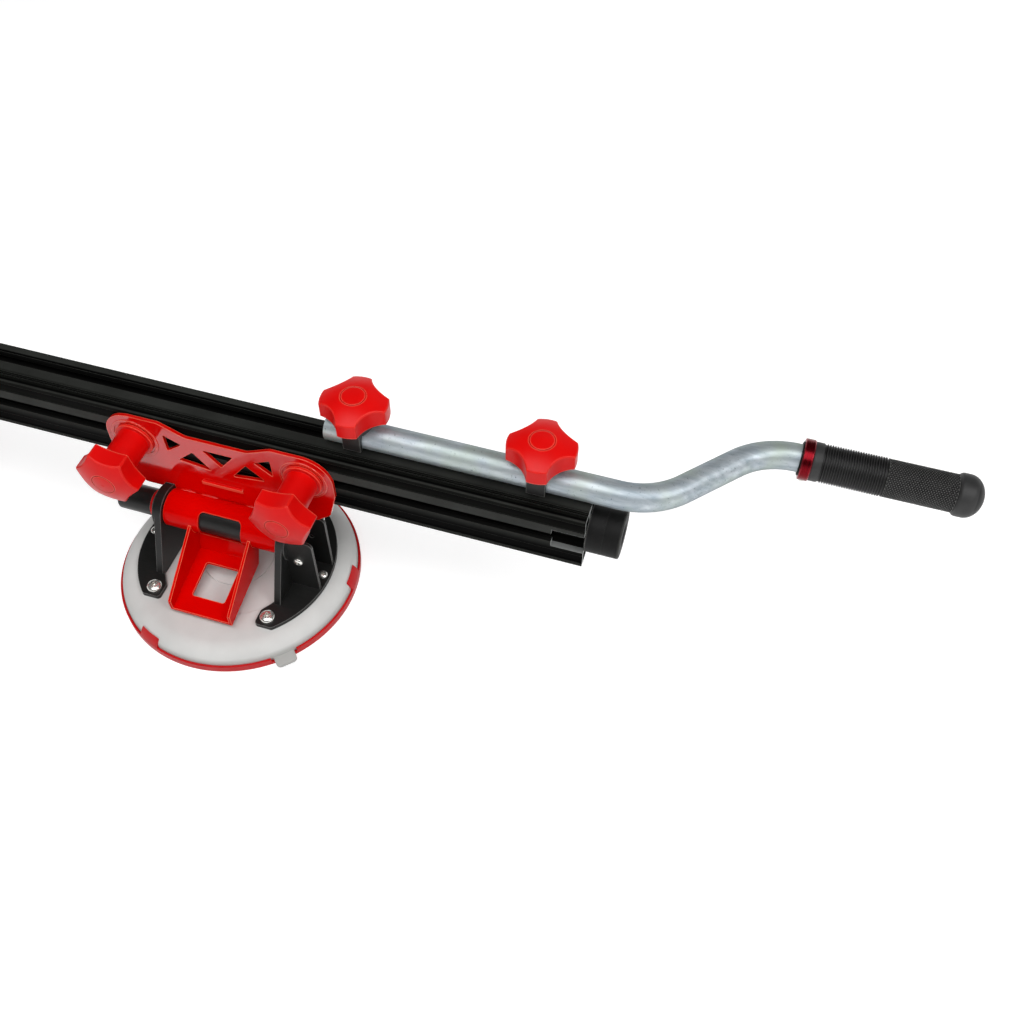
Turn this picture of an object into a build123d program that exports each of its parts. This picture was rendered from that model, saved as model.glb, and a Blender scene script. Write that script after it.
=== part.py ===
"""Slab carrying frame: one carrying bar with two pump suction cups and two carrying handles.

The bar is an extruded rail with a T-slot on top and one in front. A handle is clamped on the top slot at
each end, and a suction cup hangs from the front slot near each end. The whole bar stands on the covers of
its two cups.

Millimetres. X runs along the rail, Y from the cups' side to the handles' side, Z is up.
The origin is on the floor, at the rail's mid-length and half-way between the front and the back of the
whole bar.
"""
from build123d import *
from math import asin, cos, radians, sin, tan
import os

os.makedirs("parts", exist_ok=True)

# Driving dimensions

# Rail: extruded section with two T-slots
RAIL_LENGTH = 1000.0
RAIL_WIDTH = 39.0
RAIL_HEIGHT = 56.0
RAIL_CORNER = 1.2
RAIL_WALL = 2.8
SLOT_OPEN = 10.0
SLOT_LIP = 5.0
CHANNEL_WIDTH = 20.0
CHANNEL_DEPTH = 8.0
TOP_SLOT_FROM_BACK = 14.0
LIP_BAND = 9.5            # raised band on each side of the front slot
CORNER_BAND = 4.0         # flush band at the front face's two corners
BAND_RECESS = 0.8
GROOVE_FROM_FRONT = 9.6   # two grooves along the top, counted from its front edge
GROOVE_WIDTH = 1.6
GROOVE_DEPTH = 0.9
FINE_GROOVE_FROM_FRONT = 6.6
FINE_GROOVE_WIDTH = 0.8
LOADING_GAP = 26.0        # length at each end where the front slot's lips are milled away

# End buffers
BUFFER_DIAMETER = 39.0
BUFFER_LENGTH = 27.0
BUFFER_BORE = 17.0
BUFFER_FLOOR = 5.0
BUFFER_CHAMFER = 1.0
BUFFER_SCREW = 6.0
BUFFER_SCREW_HEAD = 11.0
BUFFER_SCREW_HEAD_HEIGHT = 5.0
BUFFER_SCREW_REACH = 24.0

# Clearances
SEAT_GAP = 0.3            # between pieces that move past each other
FIT_GAP = 0.1             # radial, between round pieces that stay put
RUN_GAP = 0.06            # radial, between round pieces that turn or slide in each other

# Star knobs, their studs and T-nuts
KNOB_DIAMETER = 53.5
HANDLE_KNOB_LOBES = 4
BRACKET_KNOB_LOBES = 6
HANDLE_KNOB_HOLLOW = (24.5, 6.8)   # radius and depth of the hollow between two lobes
BRACKET_KNOB_HOLLOW = (51.0, 4.8)
KNOB_LOBE_ROUND = 1.1
KNOB_WALL = 13.0          # height of a lobe's side
KNOB_DOME = 6.5           # rise of the domed top from the lobes' ends to the middle
KNOB_EDGE = 0.7
KNOB_CAP_DIAMETER = 20.0
KNOB_CAP_GROOVE = 0.8
KNOB_CAP_GROOVE_DEPTH = 1.3
KNOB_HUB_DIAMETER = 27.0
KNOB_HUB_LENGTH = 33.0
KNOB_SHOE_DIAMETER = 33.0
KNOB_SHOE_HEIGHT = 2.5
KNOB_COLLAR_LENGTH = 3.0  # short hub of a handle knob
HANDLE_KNOB_SPACING = 147.5
BRACKET_KNOB_SPACING = 149.0
HANDLE_KNOB_TURN = 7.0    # where a lobe points, seen against the knob's axis
BRACKET_KNOB_TURNS = (50.0, 8.0)
STUD_DIAMETER = 8.0
STUD_IN_KNOB = 14.0
STUD_TIP_GAP = 0.8
HOLE_GAP = 0.4            # radial, round a stud that passes through
NUT_LENGTH = 38.0
NUT_HEIGHT = 6.8

# Handle: bent tube with a grip
TUBE_DIAMETER = 22.0
TUBE_WALL = 2.0
TUBE_LAP = 215.0          # length of tube that lies on the rail
KNOB_FROM_END = 42.5      # from the rail's end to the outer handle knob
BEND_START = 18.5         # from the rail's end to the first bend
BEND_ANGLE = 48.0
BEND_RADIUS = 60.0
BEND_OFFSET = 77.0
RING_AFTER_BEND = 2.4
RING_WIDTH = 8.0
RING_DIAMETER = 32.5
RING_SLIT = 1.6
RING_SCREW = 4.0
GRIP_FLANGE_DIAMETER = 30.5
GRIP_FLANGE_WIDTH = 7.0
GRIP_NECK_DIAMETER = 28.6
GRIP_DIAMETER = 30.0
GRIP_LENGTH = 128.0
GRIP_STEP = 47.0          # from the flange to the knurled half
GRIP_STEP_WIDTH = 1.2
GRIP_END_DIAMETER = 33.5
GRIP_END_LENGTH = 20.0
GRIP_DOME = 13.0
GRIP_END_WALL = 8.0
SADDLE_LENGTH = 14.6
SADDLE_WALL = 3.4
SADDLE_RISE = 8.0         # from the tube's top to the knob's seat
SADDLE_TOP_DIAMETER = 32.0
SADDLE_NECK_DIAMETER = 17.0
SADDLE_FOOT_RISE = 6.0    # from the rail to the saddle's feet

# Suction cup
CUP_FROM_END = 304.5      # from the rail's end to the cup's centre
COVER_RADIUS = 106.0
COVER_FLOOR = 2.2
COVER_WALL = 2.0
COVER_WALL_HEIGHT = 6.6
CLIP_COUNT = 3
CLIP_WIDTH_ANGLE = 11.5
CLIP_FIRST_ANGLE = 7.5
CLIP_REACH = 5.2          # how far a clip hooks in over the pad's rim
CLIP_THICKNESS = 1.8
PAD_GAP = 0.3             # between the pad's rim and the cover's wall
PAD_HEIGHT = 18.3
PAD_RIM_HEIGHT = 5.0
PAD_SHOULDER = 16.2       # width of the rounded shoulder between the pad's rim and its flat top
PAD_SHOULDER_RISE = 8.6
PAD_RECESS = 3.4          # hollow under the pad
PAD_LIP = 9.0
PAD_PORT_RADIUS = 31.0
PAD_PORT_HEIGHT = 0.6
PAD_DISH_RADIUS = 62.0
PAD_DISH_DEPTH = 0.8
TAB_ANGLE = -45.0
TAB_WIDTH = 18.0
TAB_REACH = 10.0          # how far the release tab stands out past the pad's rim
TAB_THICKNESS = 3.2
TAB_ROOM = 2.5            # on each side of the tab, where the cover's wall is cut away

# Cup's legs, screws and pump
LEG_SPAN = 105.0          # between the two legs' uprights
LEG_HEIGHT = 50.5         # from the pad's top to the bar's axis
LEG_PLATE = 6.0
LEG_EYE_DIAMETER = 39.0
LEG_EYE_RIM = 2.0
LEG_FOOT_WIDTH = 80.0
FLANGE_MARGIN = 0.5       # from the flange's edge to the edge of the pad's flat top
FLANGE_HALF_WIDTH = 63.0
FLANGE_HEIGHT = 4.0
FLANGE_TOE = 8.0
FLANGE_TOE_WIDTH = 14.0
FLANGE_WAIST = 37.0       # half width of the flange's hollow, where it meets the upright
FLANGE_ROUND = 3.0
FIN_THICKNESS = 2.6       # two upright walls that box in the barrel's closed end
FIN_SPACING = 27.4
FIN_RISE = 17.0           # from the bar's axis to the fins' top
FIN_MARGIN = 1.0
FIN_ROUND = 5.0
FIN_SCREW_FROM_LEG = 11.5
FIN_SCREW_DROP = 10.0
BIG_SCREW = 6.0
BIG_SCREW_HEAD = 13.0
BIG_SCREW_HEAD_HEIGHT = 4.0
BIG_SCREW_SPREAD = 108.5
BIG_SCREW_FROM_TOE = 8.5
SMALL_SCREW = 4.0
SMALL_SCREW_HEAD = 8.0
SMALL_SCREW_HEAD_HEIGHT = 2.8
SMALL_SCREW_MARGIN = 6.0
SCREW_REACH = 12.0
BARREL_DIAMETER = 29.0
BARREL_BORE = 24.0
BARREL_END_WALL = 4.0
PLUNGER_OUT = 38.0        # how far the plunger stands out of the barrel at rest
PLUNGER_STROKE = 26.0
PLUNGER_IN = 40.0
PLUNGER_BORE = 17.0
PLUNGER_FACE = 10.0
PLUNGER_ROUND = 2.0
LINE_WIDTH = 1.8          # red line that shows when the vacuum falls
LINE_DEPTH = 1.0
LINE_FROM_BARREL = 4.5
SEAL_WIDTH = 3.0
SEAL_DEPTH = 1.6
SEAL_FROM_END = 4.0

# Bracket that hangs the cup from the rail
SLEEVE_DIAMETER = 33.0
SLEEVE_GAP = 0.5          # at each end, to the legs
WINDOW_ROUND = 4.0
WINDOW_LENGTH = 39.0
WINDOW_TOP_ANGLE = 62.0   # from the front, up
WINDOW_BOTTOM_ANGLE = -34.0
PLATE_THICKNESS = 3.0
PLATE_INSET = 2.0         # how far the plate's back stands in front of the sleeve's back
PLATE_LENGTH = 200.0
PLATE_RISE = 68.5         # from the bar's axis to the knobs' axis
PLATE_TOP = 25.5          # from the knobs' axis to the plate's top edge
PLATE_DIP = 10.0          # how far the top edge dips between the knobs
PLATE_DIP_HALF = 27.0
PLATE_CREST_HALF = 49.0
PLATE_END_ROUND = 25.0    # round of the plate's ends, about the knobs' axes
PLATE_ROUND = 7.0
BOSS_DIAMETER = 41.0      # ring embossed round each knob's foot
BOSS_WIDTH = 2.2
BOSS_HEIGHT = 0.7
PLATE_KNEE_DROP = 14.0    # from the knobs' axis to where the plate's ends start to taper
PLATE_TAPER_DROP = 39.5
PLATE_TAPER_HALF = 93.0
PLATE_FOOT_HALF = 80.0
PLATE_FOOT_RISES = (11.0, 17.6)   # from the bar's axis to the plate's foot, left and right of the legs
PLATE_LOWER_ROUND = 5.0
EYE_CLEARANCE = 0.8       # radial, between the plate's foot and a leg's eye
STRIP_LENGTH = 37.0
STRIP_HEIGHT = 3.2
STRIP_PROUD = 2.2
STRIP_DROP = 36.0         # from the knobs' axis to the strip
STRIP_SHIFT = -3.0        # from the plate's middle to the strip's
TRUSS_TOP = 5.2           # upper edge of the truss windows above the knobs' axis
TRUSS_HEIGHT = 17.0
TRUSS_MID_HALF = 13.8
TRUSS_SIDE_DROP = 6.4     # how far the two side windows start below the middle one
TRUSS_SIDE_HEIGHT = 18.6
TRUSS_SIDE_TILT = 4.6     # how much lower a side window's inner corner is than its outer one
TRUSS_SIDE_INNER = 9.0
TRUSS_SIDE_APEX = 23.8
TRUSS_SIDE_OUTER = 39.0
TRUSS_END_INNER = 32.0
TRUSS_END_OUTER = 47.2
TRUSS_END_RISE = 7.6
TRUSS_END_HEIGHT = 19.8
TRUSS_ROUND = 1.0
TONGUE_WIDTH = 57.0
TONGUE_SHEET = 2.5
TONGUE_REACH = 71.0       # from the bar's axis to the tongue's tip
TONGUE_TIP_RISE = 4.5     # from the pad to the underside of the tongue's tip
TONGUE_TIP_HEIGHT = 12.0  # height of the sides at the tip
TONGUE_HEEL_REACH = 13.0  # from the bar's axis to the heel, where the web turns up
TONGUE_HEEL_RISE = 17.0   # from the pad to the underside of the heel
TONGUE_SIDE_TOP = 3.0     # from the bar's axis up to where the sides' edge meets the sleeve
TONGUE_WINDOW_WIDTH = 30.0
TONGUE_WINDOW_FIRST = 25.0
TONGUE_WINDOW_LAST = 56.0
TONGUE_WINDOW_ROUND = 2.0

# Places that follow from the sizes

PAD_RADIUS = COVER_RADIUS - COVER_WALL - PAD_GAP
PAD_FLAT_RADIUS = PAD_RADIUS - PAD_SHOULDER
FLANGE_RADIUS = PAD_FLAT_RADIUS - FLANGE_MARGIN
PAD_TOP = COVER_FLOOR + PAD_HEIGHT
BAR_Z = PAD_TOP + LEG_HEIGHT
SLOT_Z = BAR_Z + PLATE_RISE
RAIL_BOTTOM = SLOT_Z - RAIL_HEIGHT / 2
RAIL_TOP = RAIL_BOTTOM + RAIL_HEIGHT
TUBE_Z = RAIL_TOP + SEAT_GAP + TUBE_DIAMETER / 2

# Y of each piece counted from the cups' centre line, then moved so that the bar is centred on the origin
PLATE_BACK_FROM_CUP = SLEEVE_DIAMETER / 2 - PLATE_INSET
RAIL_FRONT_FROM_CUP = PLATE_BACK_FROM_CUP + SEAT_GAP
TUBE_FROM_CUP = RAIL_FRONT_FROM_CUP + RAIL_WIDTH - TOP_SLOT_FROM_BACK
BACK_FROM_CUP = TUBE_FROM_CUP + BEND_OFFSET + GRIP_END_DIAMETER / 2
CUP_Y = (COVER_RADIUS - BACK_FROM_CUP) / 2
RAIL_FRONT = CUP_Y + RAIL_FRONT_FROM_CUP
RAIL_Y = RAIL_FRONT + RAIL_WIDTH / 2
RAIL_BACK = RAIL_FRONT + RAIL_WIDTH
TUBE_Y = CUP_Y + TUBE_FROM_CUP
GRIP_Y = TUBE_Y + BEND_OFFSET

RAIL_END = RAIL_LENGTH / 2
CUP_X = RAIL_END - CUP_FROM_END
OUTER_KNOB_X = RAIL_END - KNOB_FROM_END
INNER_KNOB_X = OUTER_KNOB_X - HANDLE_KNOB_SPACING

STUD_HOLE = STUD_DIAMETER / 2 + HOLE_GAP


def along_x(radius, start, end, y=0.0, z=0.0):
    """A round bar from one X to another."""
    return Pos((start + end) / 2, y, z) * Rot(0, 90, 0) * Cylinder(radius, end - start)


def upright(radius, start, end, x=0.0, y=0.0):
    """A round bar from one Z to another."""
    return Pos(x, y, (start + end) / 2) * Cylinder(radius, end - start)


def block(x, y, z):
    """A box given by its three ranges."""
    return Pos(sum(x) / 2, sum(y) / 2, sum(z) / 2) * Box(x[1] - x[0], y[1] - y[0], z[1] - z[0])


def panel(u, v):
    """A flat rectangle given by its two ranges."""
    return Pos(sum(u) / 2, sum(v) / 2) * Rectangle(u[1] - u[0], v[1] - v[0])


def outline(*points):
    """A flat face with straight edges."""
    return make_face(Polyline(*points, close=True))


# Rail and end buffers


def make_rail():
    top_slot = RAIL_BACK - TOP_SLOT_FROM_BACK
    deep = SLOT_LIP + CHANNEL_DEPTH
    half_open = SLOT_OPEN / 2
    half_channel = CHANNEL_WIDTH / 2
    section = Pos(RAIL_Y, SLOT_Z) * RectangleRounded(RAIL_WIDTH, RAIL_HEIGHT, RAIL_CORNER)
    section -= panel((top_slot - half_open, top_slot + half_open), (RAIL_TOP - deep, RAIL_TOP))
    section -= panel((top_slot - half_channel, top_slot + half_channel),
                     (RAIL_TOP - deep, RAIL_TOP - SLOT_LIP))
    section -= panel((RAIL_FRONT, RAIL_FRONT + deep), (SLOT_Z - half_open, SLOT_Z + half_open))
    section -= panel((RAIL_FRONT + SLOT_LIP, RAIL_FRONT + deep),
                     (SLOT_Z - half_channel, SLOT_Z + half_channel))
    # Hollow chambers above, below and behind the front channel
    front, back = RAIL_FRONT + RAIL_WALL, RAIL_BACK - RAIL_WALL
    section -= panel((front, top_slot - half_channel - RAIL_WALL),
                     (SLOT_Z + half_channel + RAIL_WALL, RAIL_TOP - RAIL_WALL))
    section -= panel((front, back), (RAIL_BOTTOM + RAIL_WALL, SLOT_Z - half_channel - RAIL_WALL))
    core = RAIL_Y + BUFFER_SCREW / 2 + RAIL_WALL
    section -= panel((core, back), (SLOT_Z - half_channel, RAIL_TOP - deep - RAIL_WALL))
    # Sunk bands on the front face, and two grooves along the top
    face = (RAIL_FRONT, RAIL_FRONT + BAND_RECESS)
    section -= panel(face, (SLOT_Z + half_open + LIP_BAND, RAIL_TOP - CORNER_BAND))
    section -= panel(face, (RAIL_BOTTOM + CORNER_BAND, SLOT_Z - half_open - LIP_BAND))
    for place, width in ((GROOVE_FROM_FRONT, GROOVE_WIDTH), (FINE_GROOVE_FROM_FRONT, FINE_GROOVE_WIDTH)):
        middle = RAIL_FRONT + place
        section -= panel((middle - width / 2, middle + width / 2), (RAIL_TOP - GROOVE_DEPTH, RAIL_TOP))
    rail = extrude(Plane.YZ * section, amount=RAIL_END, both=True)
    for side in (-1, 1):
        gap = sorted((side * RAIL_END, side * (RAIL_END - LOADING_GAP)))
        rail -= block(gap, (RAIL_FRONT, RAIL_FRONT + SLOT_LIP),
                      (SLOT_Z - half_channel, SLOT_Z + half_channel))
        hole = sorted((side * RAIL_END, side * (RAIL_END - BUFFER_SCREW_REACH)))
        rail -= along_x(BUFFER_SCREW / 2 + FIT_GAP, *hole, RAIL_Y, SLOT_Z)
    return rail


def make_buffer():
    end = RAIL_END + BUFFER_LENGTH
    buffer = along_x(BUFFER_DIAMETER / 2, RAIL_END, end, RAIL_Y, SLOT_Z)
    buffer -= along_x(BUFFER_BORE / 2, RAIL_END + BUFFER_FLOOR, end, RAIL_Y, SLOT_Z)
    buffer -= along_x(BUFFER_SCREW / 2 + FIT_GAP, RAIL_END, end, RAIL_Y, SLOT_Z)
    return chamfer(buffer.faces().sort_by(Axis.X)[-1].edges(), BUFFER_CHAMFER)


def make_buffer_screw():
    seat = RAIL_END + BUFFER_FLOOR
    screw = along_x(BUFFER_SCREW / 2, RAIL_END - BUFFER_SCREW_REACH, seat, RAIL_Y, SLOT_Z)
    return screw + along_x(BUFFER_SCREW_HEAD / 2, seat, seat + BUFFER_SCREW_HEAD_HEIGHT, RAIL_Y, SLOT_Z)


# Star knobs with their studs and T-nuts, made along +Z with the seat at z = 0


def make_knob(hub_length, lobes, hollow, turn, shoe=False):
    """A star knob: shallow hollows between its lobes, a domed top, and a ring line round its cap."""
    radius = KNOB_DIAMETER / 2
    bow, depth = hollow
    star = Circle(radius)
    step = 360 / lobes
    for number in range(lobes):
        angle = turn + (number + 0.5) * step
        star -= Rot(0, 0, angle) * Pos(radius + bow - depth) * Circle(bow)
    star = fillet(star.vertices(), KNOB_LOBE_ROUND)
    height = KNOB_WALL + KNOB_DOME
    top = hub_length + height
    ball = (radius ** 2 + KNOB_DOME ** 2) / (2 * KNOB_DOME)
    head = extrude(Pos(0, 0, hub_length) * star, amount=height) & Pos(0, 0, top - ball) * Sphere(ball)
    head = chamfer(head.faces().sort_by(Axis.Z)[-1].edges(), KNOB_EDGE)
    cap = KNOB_CAP_DIAMETER / 2
    head -= upright(cap, top - KNOB_CAP_GROOVE_DEPTH, top) - upright(
        cap - KNOB_CAP_GROOVE, top - KNOB_CAP_GROOVE_DEPTH, top)
    head += upright(KNOB_HUB_DIAMETER / 2, 0, hub_length)
    if shoe:
        head += upright(KNOB_SHOE_DIAMETER / 2, 0, KNOB_SHOE_HEIGHT)
    return head - upright(STUD_DIAMETER / 2, 0, STUD_IN_KNOB)


def make_stud(length):
    """A stud that is set in its knob and reaches down by a length from the knob's seat."""
    return upright(STUD_DIAMETER / 2, -length, STUD_IN_KNOB)


def make_nut(lip_top):
    """A T-nut that hangs under the slot's lips, with its neck between them. lip_top is the rail's face."""
    body_top = lip_top - SLOT_LIP - SEAT_GAP
    half = NUT_LENGTH / 2
    half_body = CHANNEL_WIDTH / 2 - SEAT_GAP
    half_neck = SLOT_OPEN / 2 - SEAT_GAP
    nut = block((-half, half), (-half_body, half_body), (body_top - NUT_HEIGHT, body_top))
    nut += block((-half, half), (-half_neck, half_neck), (body_top, lip_top - SEAT_GAP))
    return nut - upright(STUD_DIAMETER / 2 + RUN_GAP, body_top - NUT_HEIGHT, lip_top)


# Handle at the rail's +X end

SADDLE_TOP = TUBE_Z + TUBE_DIAMETER / 2 + SADDLE_RISE
HANDLE_SEAT = SADDLE_TOP + SEAT_GAP
STUD_TIP = SLOT_LIP + CHANNEL_DEPTH - STUD_TIP_GAP     # depth of a stud's tip below the rail's face
BEND_TANGENT = BEND_RADIUS * tan(radians(BEND_ANGLE / 2))
BEND_FIRST = RAIL_END + BEND_START + BEND_TANGENT
BEND_SECOND = BEND_FIRST + BEND_OFFSET / tan(radians(BEND_ANGLE))
RING_START = BEND_SECOND + BEND_TANGENT + RING_AFTER_BEND
GRIP_START = RING_START + RING_WIDTH
GRIP_END = GRIP_START + GRIP_LENGTH
TUBE_END = GRIP_END - GRIP_END_WALL


def make_tube():
    corners = ((RAIL_END - TUBE_LAP, TUBE_Y), (BEND_FIRST, TUBE_Y), (BEND_SECOND, GRIP_Y), (TUBE_END, GRIP_Y))
    path = FilletPolyline(*[(x, y, TUBE_Z) for x, y in corners], radius=BEND_RADIUS)
    start = Plane(path @ 0, z_dir=path % 0)
    tube = sweep(start * Circle(TUBE_DIAMETER / 2), path=path)
    tube -= sweep(start * Circle(TUBE_DIAMETER / 2 - TUBE_WALL), path=path)
    for x in (INNER_KNOB_X, OUTER_KNOB_X):
        tube -= upright(STUD_HOLE, RAIL_TOP, SADDLE_TOP, x, TUBE_Y)
    return tube


def make_ring():
    start, end = RING_START, RING_START + RING_WIDTH
    ring = along_x(RING_DIAMETER / 2, start, end, GRIP_Y, TUBE_Z)
    ring = chamfer(ring.edges(), (RING_DIAMETER - GRIP_FLANGE_DIAMETER) / 3)
    ring -= along_x(TUBE_DIAMETER / 2 + FIT_GAP, start, end, GRIP_Y, TUBE_Z)
    below = TUBE_Z - RING_DIAMETER / 2
    ring -= block((start, end), (GRIP_Y - RING_SLIT / 2, GRIP_Y + RING_SLIT / 2), (below, TUBE_Z))
    lug_z = (below + TUBE_Z - TUBE_DIAMETER / 2) / 2
    hole = Rot(90, 0, 0) * Cylinder(RING_SCREW / 2, RING_DIAMETER)
    return ring - Pos((start + end) / 2, GRIP_Y, lug_z) * hole


def make_ring_screw():
    below = TUBE_Z - RING_DIAMETER / 2
    lug_z = (below + TUBE_Z - TUBE_DIAMETER / 2) / 2
    half = (RING_DIAMETER / 2) * sin(radians(35))
    shank = Rot(90, 0, 0) * Cylinder(RING_SCREW / 2 - FIT_GAP, 2 * half)
    return Pos(RING_START + RING_WIDTH / 2, GRIP_Y, lug_z) * shank


def make_grip():
    bore = TUBE_DIAMETER / 2 + FIT_GAP
    bore_end = GRIP_LENGTH - GRIP_END_WALL + FIT_GAP
    flange, body, neck = GRIP_FLANGE_DIAMETER / 2, GRIP_DIAMETER / 2, GRIP_NECK_DIAMETER / 2
    bulge = GRIP_END_DIAMETER / 2
    rim = GRIP_FLANGE_WIDTH + GRIP_STEP_WIDTH
    step = GRIP_FLANGE_WIDTH + GRIP_STEP
    bulge_start = GRIP_LENGTH - GRIP_END_LENGTH
    dome_start = GRIP_LENGTH - GRIP_DOME
    # Domed end: part of a ball that has the bulge's radius where the dome starts
    depth = GRIP_LENGTH - dome_start
    ball = (bulge ** 2 + depth ** 2) / (2 * depth)
    centre = GRIP_LENGTH - ball
    half_way = asin(min(1, bulge / ball)) / 2
    tip = (centre + ball * cos(half_way), ball * sin(half_way))
    dome = ThreePointArc((dome_start, bulge), tip, (GRIP_LENGTH, 0))
    sides = Polyline((GRIP_LENGTH, 0), (0, 0), (0, flange), (GRIP_FLANGE_WIDTH, flange),
                     (GRIP_FLANGE_WIDTH, neck), (rim, neck), (rim, body), (step, body), (step, neck),
                     (step + GRIP_STEP_WIDTH, neck), (step + GRIP_STEP_WIDTH, body),
                     (bulge_start - GRIP_STEP_WIDTH, body), (bulge_start, bulge), (dome_start, bulge))
    half = make_face([dome] + sides.edges())
    grip = revolve(half, axis=Axis.X) - along_x(bore, 0, bore_end)
    return Pos(GRIP_START, GRIP_Y, TUBE_Z) * grip


def make_saddle(x):
    """A moulded saddle that straddles the tube under a knob and widens into the knob's seat."""
    foot = RAIL_TOP + SADDLE_FOOT_RISE
    clear = TUBE_DIAMETER / 2 + FIT_GAP
    half_width = clear + SADDLE_WALL
    half = SADDLE_LENGTH / 2
    shoulder = TUBE_Z + TUBE_DIAMETER / 2 + SADDLE_RISE / 3
    saddle = block((x - half, x + half), (TUBE_Y - half_width, TUBE_Y + half_width), (foot, shoulder))
    flare = Pos(x, TUBE_Y, (TUBE_Z + SADDLE_TOP) / 2) * Cone(
        SADDLE_NECK_DIAMETER / 2, SADDLE_TOP_DIAMETER / 2, SADDLE_TOP - TUBE_Z)
    saddle += flare
    reach = SADDLE_TOP_DIAMETER / 2
    saddle -= along_x(clear, x - reach, x + reach, TUBE_Y, TUBE_Z)
    saddle -= block((x - reach, x + reach), (TUBE_Y - clear, TUBE_Y + clear), (foot, TUBE_Z))
    return saddle - upright(STUD_HOLE, TUBE_Z, SADDLE_TOP, x, TUBE_Y)


def make_handle_nut(x):
    return Pos(x, TUBE_Y, 0) * make_nut(RAIL_TOP)


def make_handle():
    """The pieces of the +X handle, by name."""
    pieces = {
        "handle_tube": make_tube(),
        "grip": make_grip(),
        "grip_ring": make_ring(),
        "grip_ring_screw": make_ring_screw(),
        "handle_saddles": [make_saddle(x) for x in (INNER_KNOB_X, OUTER_KNOB_X)],
        "handle_nuts": [make_handle_nut(x) for x in (INNER_KNOB_X, OUTER_KNOB_X)],
    }
    for place, x in (("inner", INNER_KNOB_X), ("outer", OUTER_KNOB_X)):
        seat = Pos(x, TUBE_Y, HANDLE_SEAT)
        pieces[f"handle_knob_{place}"] = seat * make_knob(
            KNOB_COLLAR_LENGTH, HANDLE_KNOB_LOBES, HANDLE_KNOB_HOLLOW, HANDLE_KNOB_TURN)
        pieces[f"handle_stud_{place}"] = seat * make_stud(HANDLE_SEAT - RAIL_TOP + STUD_TIP)
    return pieces


# Suction cup, made with its centre at x = 0, y = 0 and placed later

LEG_INNER = LEG_SPAN / 2
LEG_OUTER = LEG_INNER + LEG_PLATE
FLANGE_TOP = PAD_TOP + FLANGE_HEIGHT
PLATE_FRONT = PLATE_BACK_FROM_CUP - PLATE_THICKNESS
KNOB_HALF = BRACKET_KNOB_SPACING / 2
SLEEVE_RADIUS = SLEEVE_DIAMETER / 2


def pad_half():
    """Half section of the pad in r and z, without its recess and its raised middle."""
    rim_top = COVER_FLOOR + PAD_RIM_HEIGHT
    middle = ((PAD_FLAT_RADIUS + 2 * PAD_RADIUS) / 3, rim_top + PAD_SHOULDER_RISE)
    shoulder = ThreePointArc((PAD_RADIUS, rim_top), middle, (PAD_FLAT_RADIUS, PAD_TOP))
    sides = Polyline((PAD_FLAT_RADIUS, PAD_TOP), (0, PAD_TOP), (0, COVER_FLOOR), (PAD_RADIUS, COVER_FLOOR),
                     (PAD_RADIUS, rim_top))
    return make_face([shoulder] + sides.edges())


def turned(half):
    """The solid of revolution of a half section in r and z."""
    return revolve(Plane.XZ * half, axis=Axis.Z)


def screw_places():
    """Big and small screw places on the +X leg."""
    x = LEG_INNER - FLANGE_TOE + BIG_SCREW_FROM_TOE
    big = [(x, side * BIG_SCREW_SPREAD / 2) for side in (-1, 1)]
    small = [(FLANGE_RADIUS - SMALL_SCREW_MARGIN, 0)]
    return big, small


def screw_holes(start, end, gap):
    """All screw shanks of both legs, with a gap round them."""
    big, small = screw_places()
    shanks = []
    for places, size in ((big, BIG_SCREW), (small, SMALL_SCREW)):
        for x, y in places:
            for side in (-1, 1):
                shanks.append(upright(size / 2 + gap, start, end, side * x, y))
    return shanks


def make_pad():
    pad = turned(pad_half())
    pad -= upright(PAD_DISH_RADIUS, PAD_TOP - PAD_DISH_DEPTH, PAD_TOP)
    pad += upright(PAD_PORT_RADIUS, PAD_TOP - PAD_DISH_DEPTH, PAD_TOP - PAD_DISH_DEPTH + PAD_PORT_HEIGHT)
    pad -= upright(PAD_RADIUS - PAD_LIP, COVER_FLOOR, COVER_FLOOR + PAD_RECESS)
    tab_end = PAD_RADIUS + TAB_REACH
    tab = block((PAD_RADIUS - PAD_LIP / 2, tab_end), (-TAB_WIDTH / 2, TAB_WIDTH / 2),
                (COVER_FLOOR, COVER_FLOOR + TAB_THICKNESS))
    tab = fillet(tab.edges().filter_by(Axis.Z).group_by(Axis.X)[-1], TAB_WIDTH / 5)
    pad += Rot(0, 0, TAB_ANGLE) * tab
    return pad - screw_holes(FLANGE_TOP - SCREW_REACH - FLANGE_HEIGHT, PAD_TOP, FIT_GAP)


def make_cover():
    cover = upright(COVER_RADIUS, 0, COVER_WALL_HEIGHT)
    cover -= upright(COVER_RADIUS - COVER_WALL, COVER_FLOOR, COVER_WALL_HEIGHT)
    half_room = TAB_WIDTH / 2 + TAB_ROOM
    room = block((PAD_RADIUS - PAD_LIP, COVER_RADIUS + TAB_REACH), (-half_room, half_room),
                 (COVER_FLOOR, COVER_WALL_HEIGHT))
    cover -= Rot(0, 0, TAB_ANGLE) * room
    # Each clip follows the pad's shoulder at a small distance
    around = offset(pad_half(), PAD_GAP + CLIP_THICKNESS) - offset(pad_half(), PAD_GAP)
    hook = around & panel((COVER_RADIUS - CLIP_REACH, COVER_RADIUS), (COVER_WALL_HEIGHT, PAD_TOP))
    clip = revolve(Plane.XZ * hook, axis=Axis.Z, revolution_arc=CLIP_WIDTH_ANGLE)
    for number in range(CLIP_COUNT):
        angle = CLIP_FIRST_ANGLE - CLIP_WIDTH_ANGLE / 2 + number * 360 / CLIP_COUNT
        cover += Rot(0, 0, angle) * clip
    return cover


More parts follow.
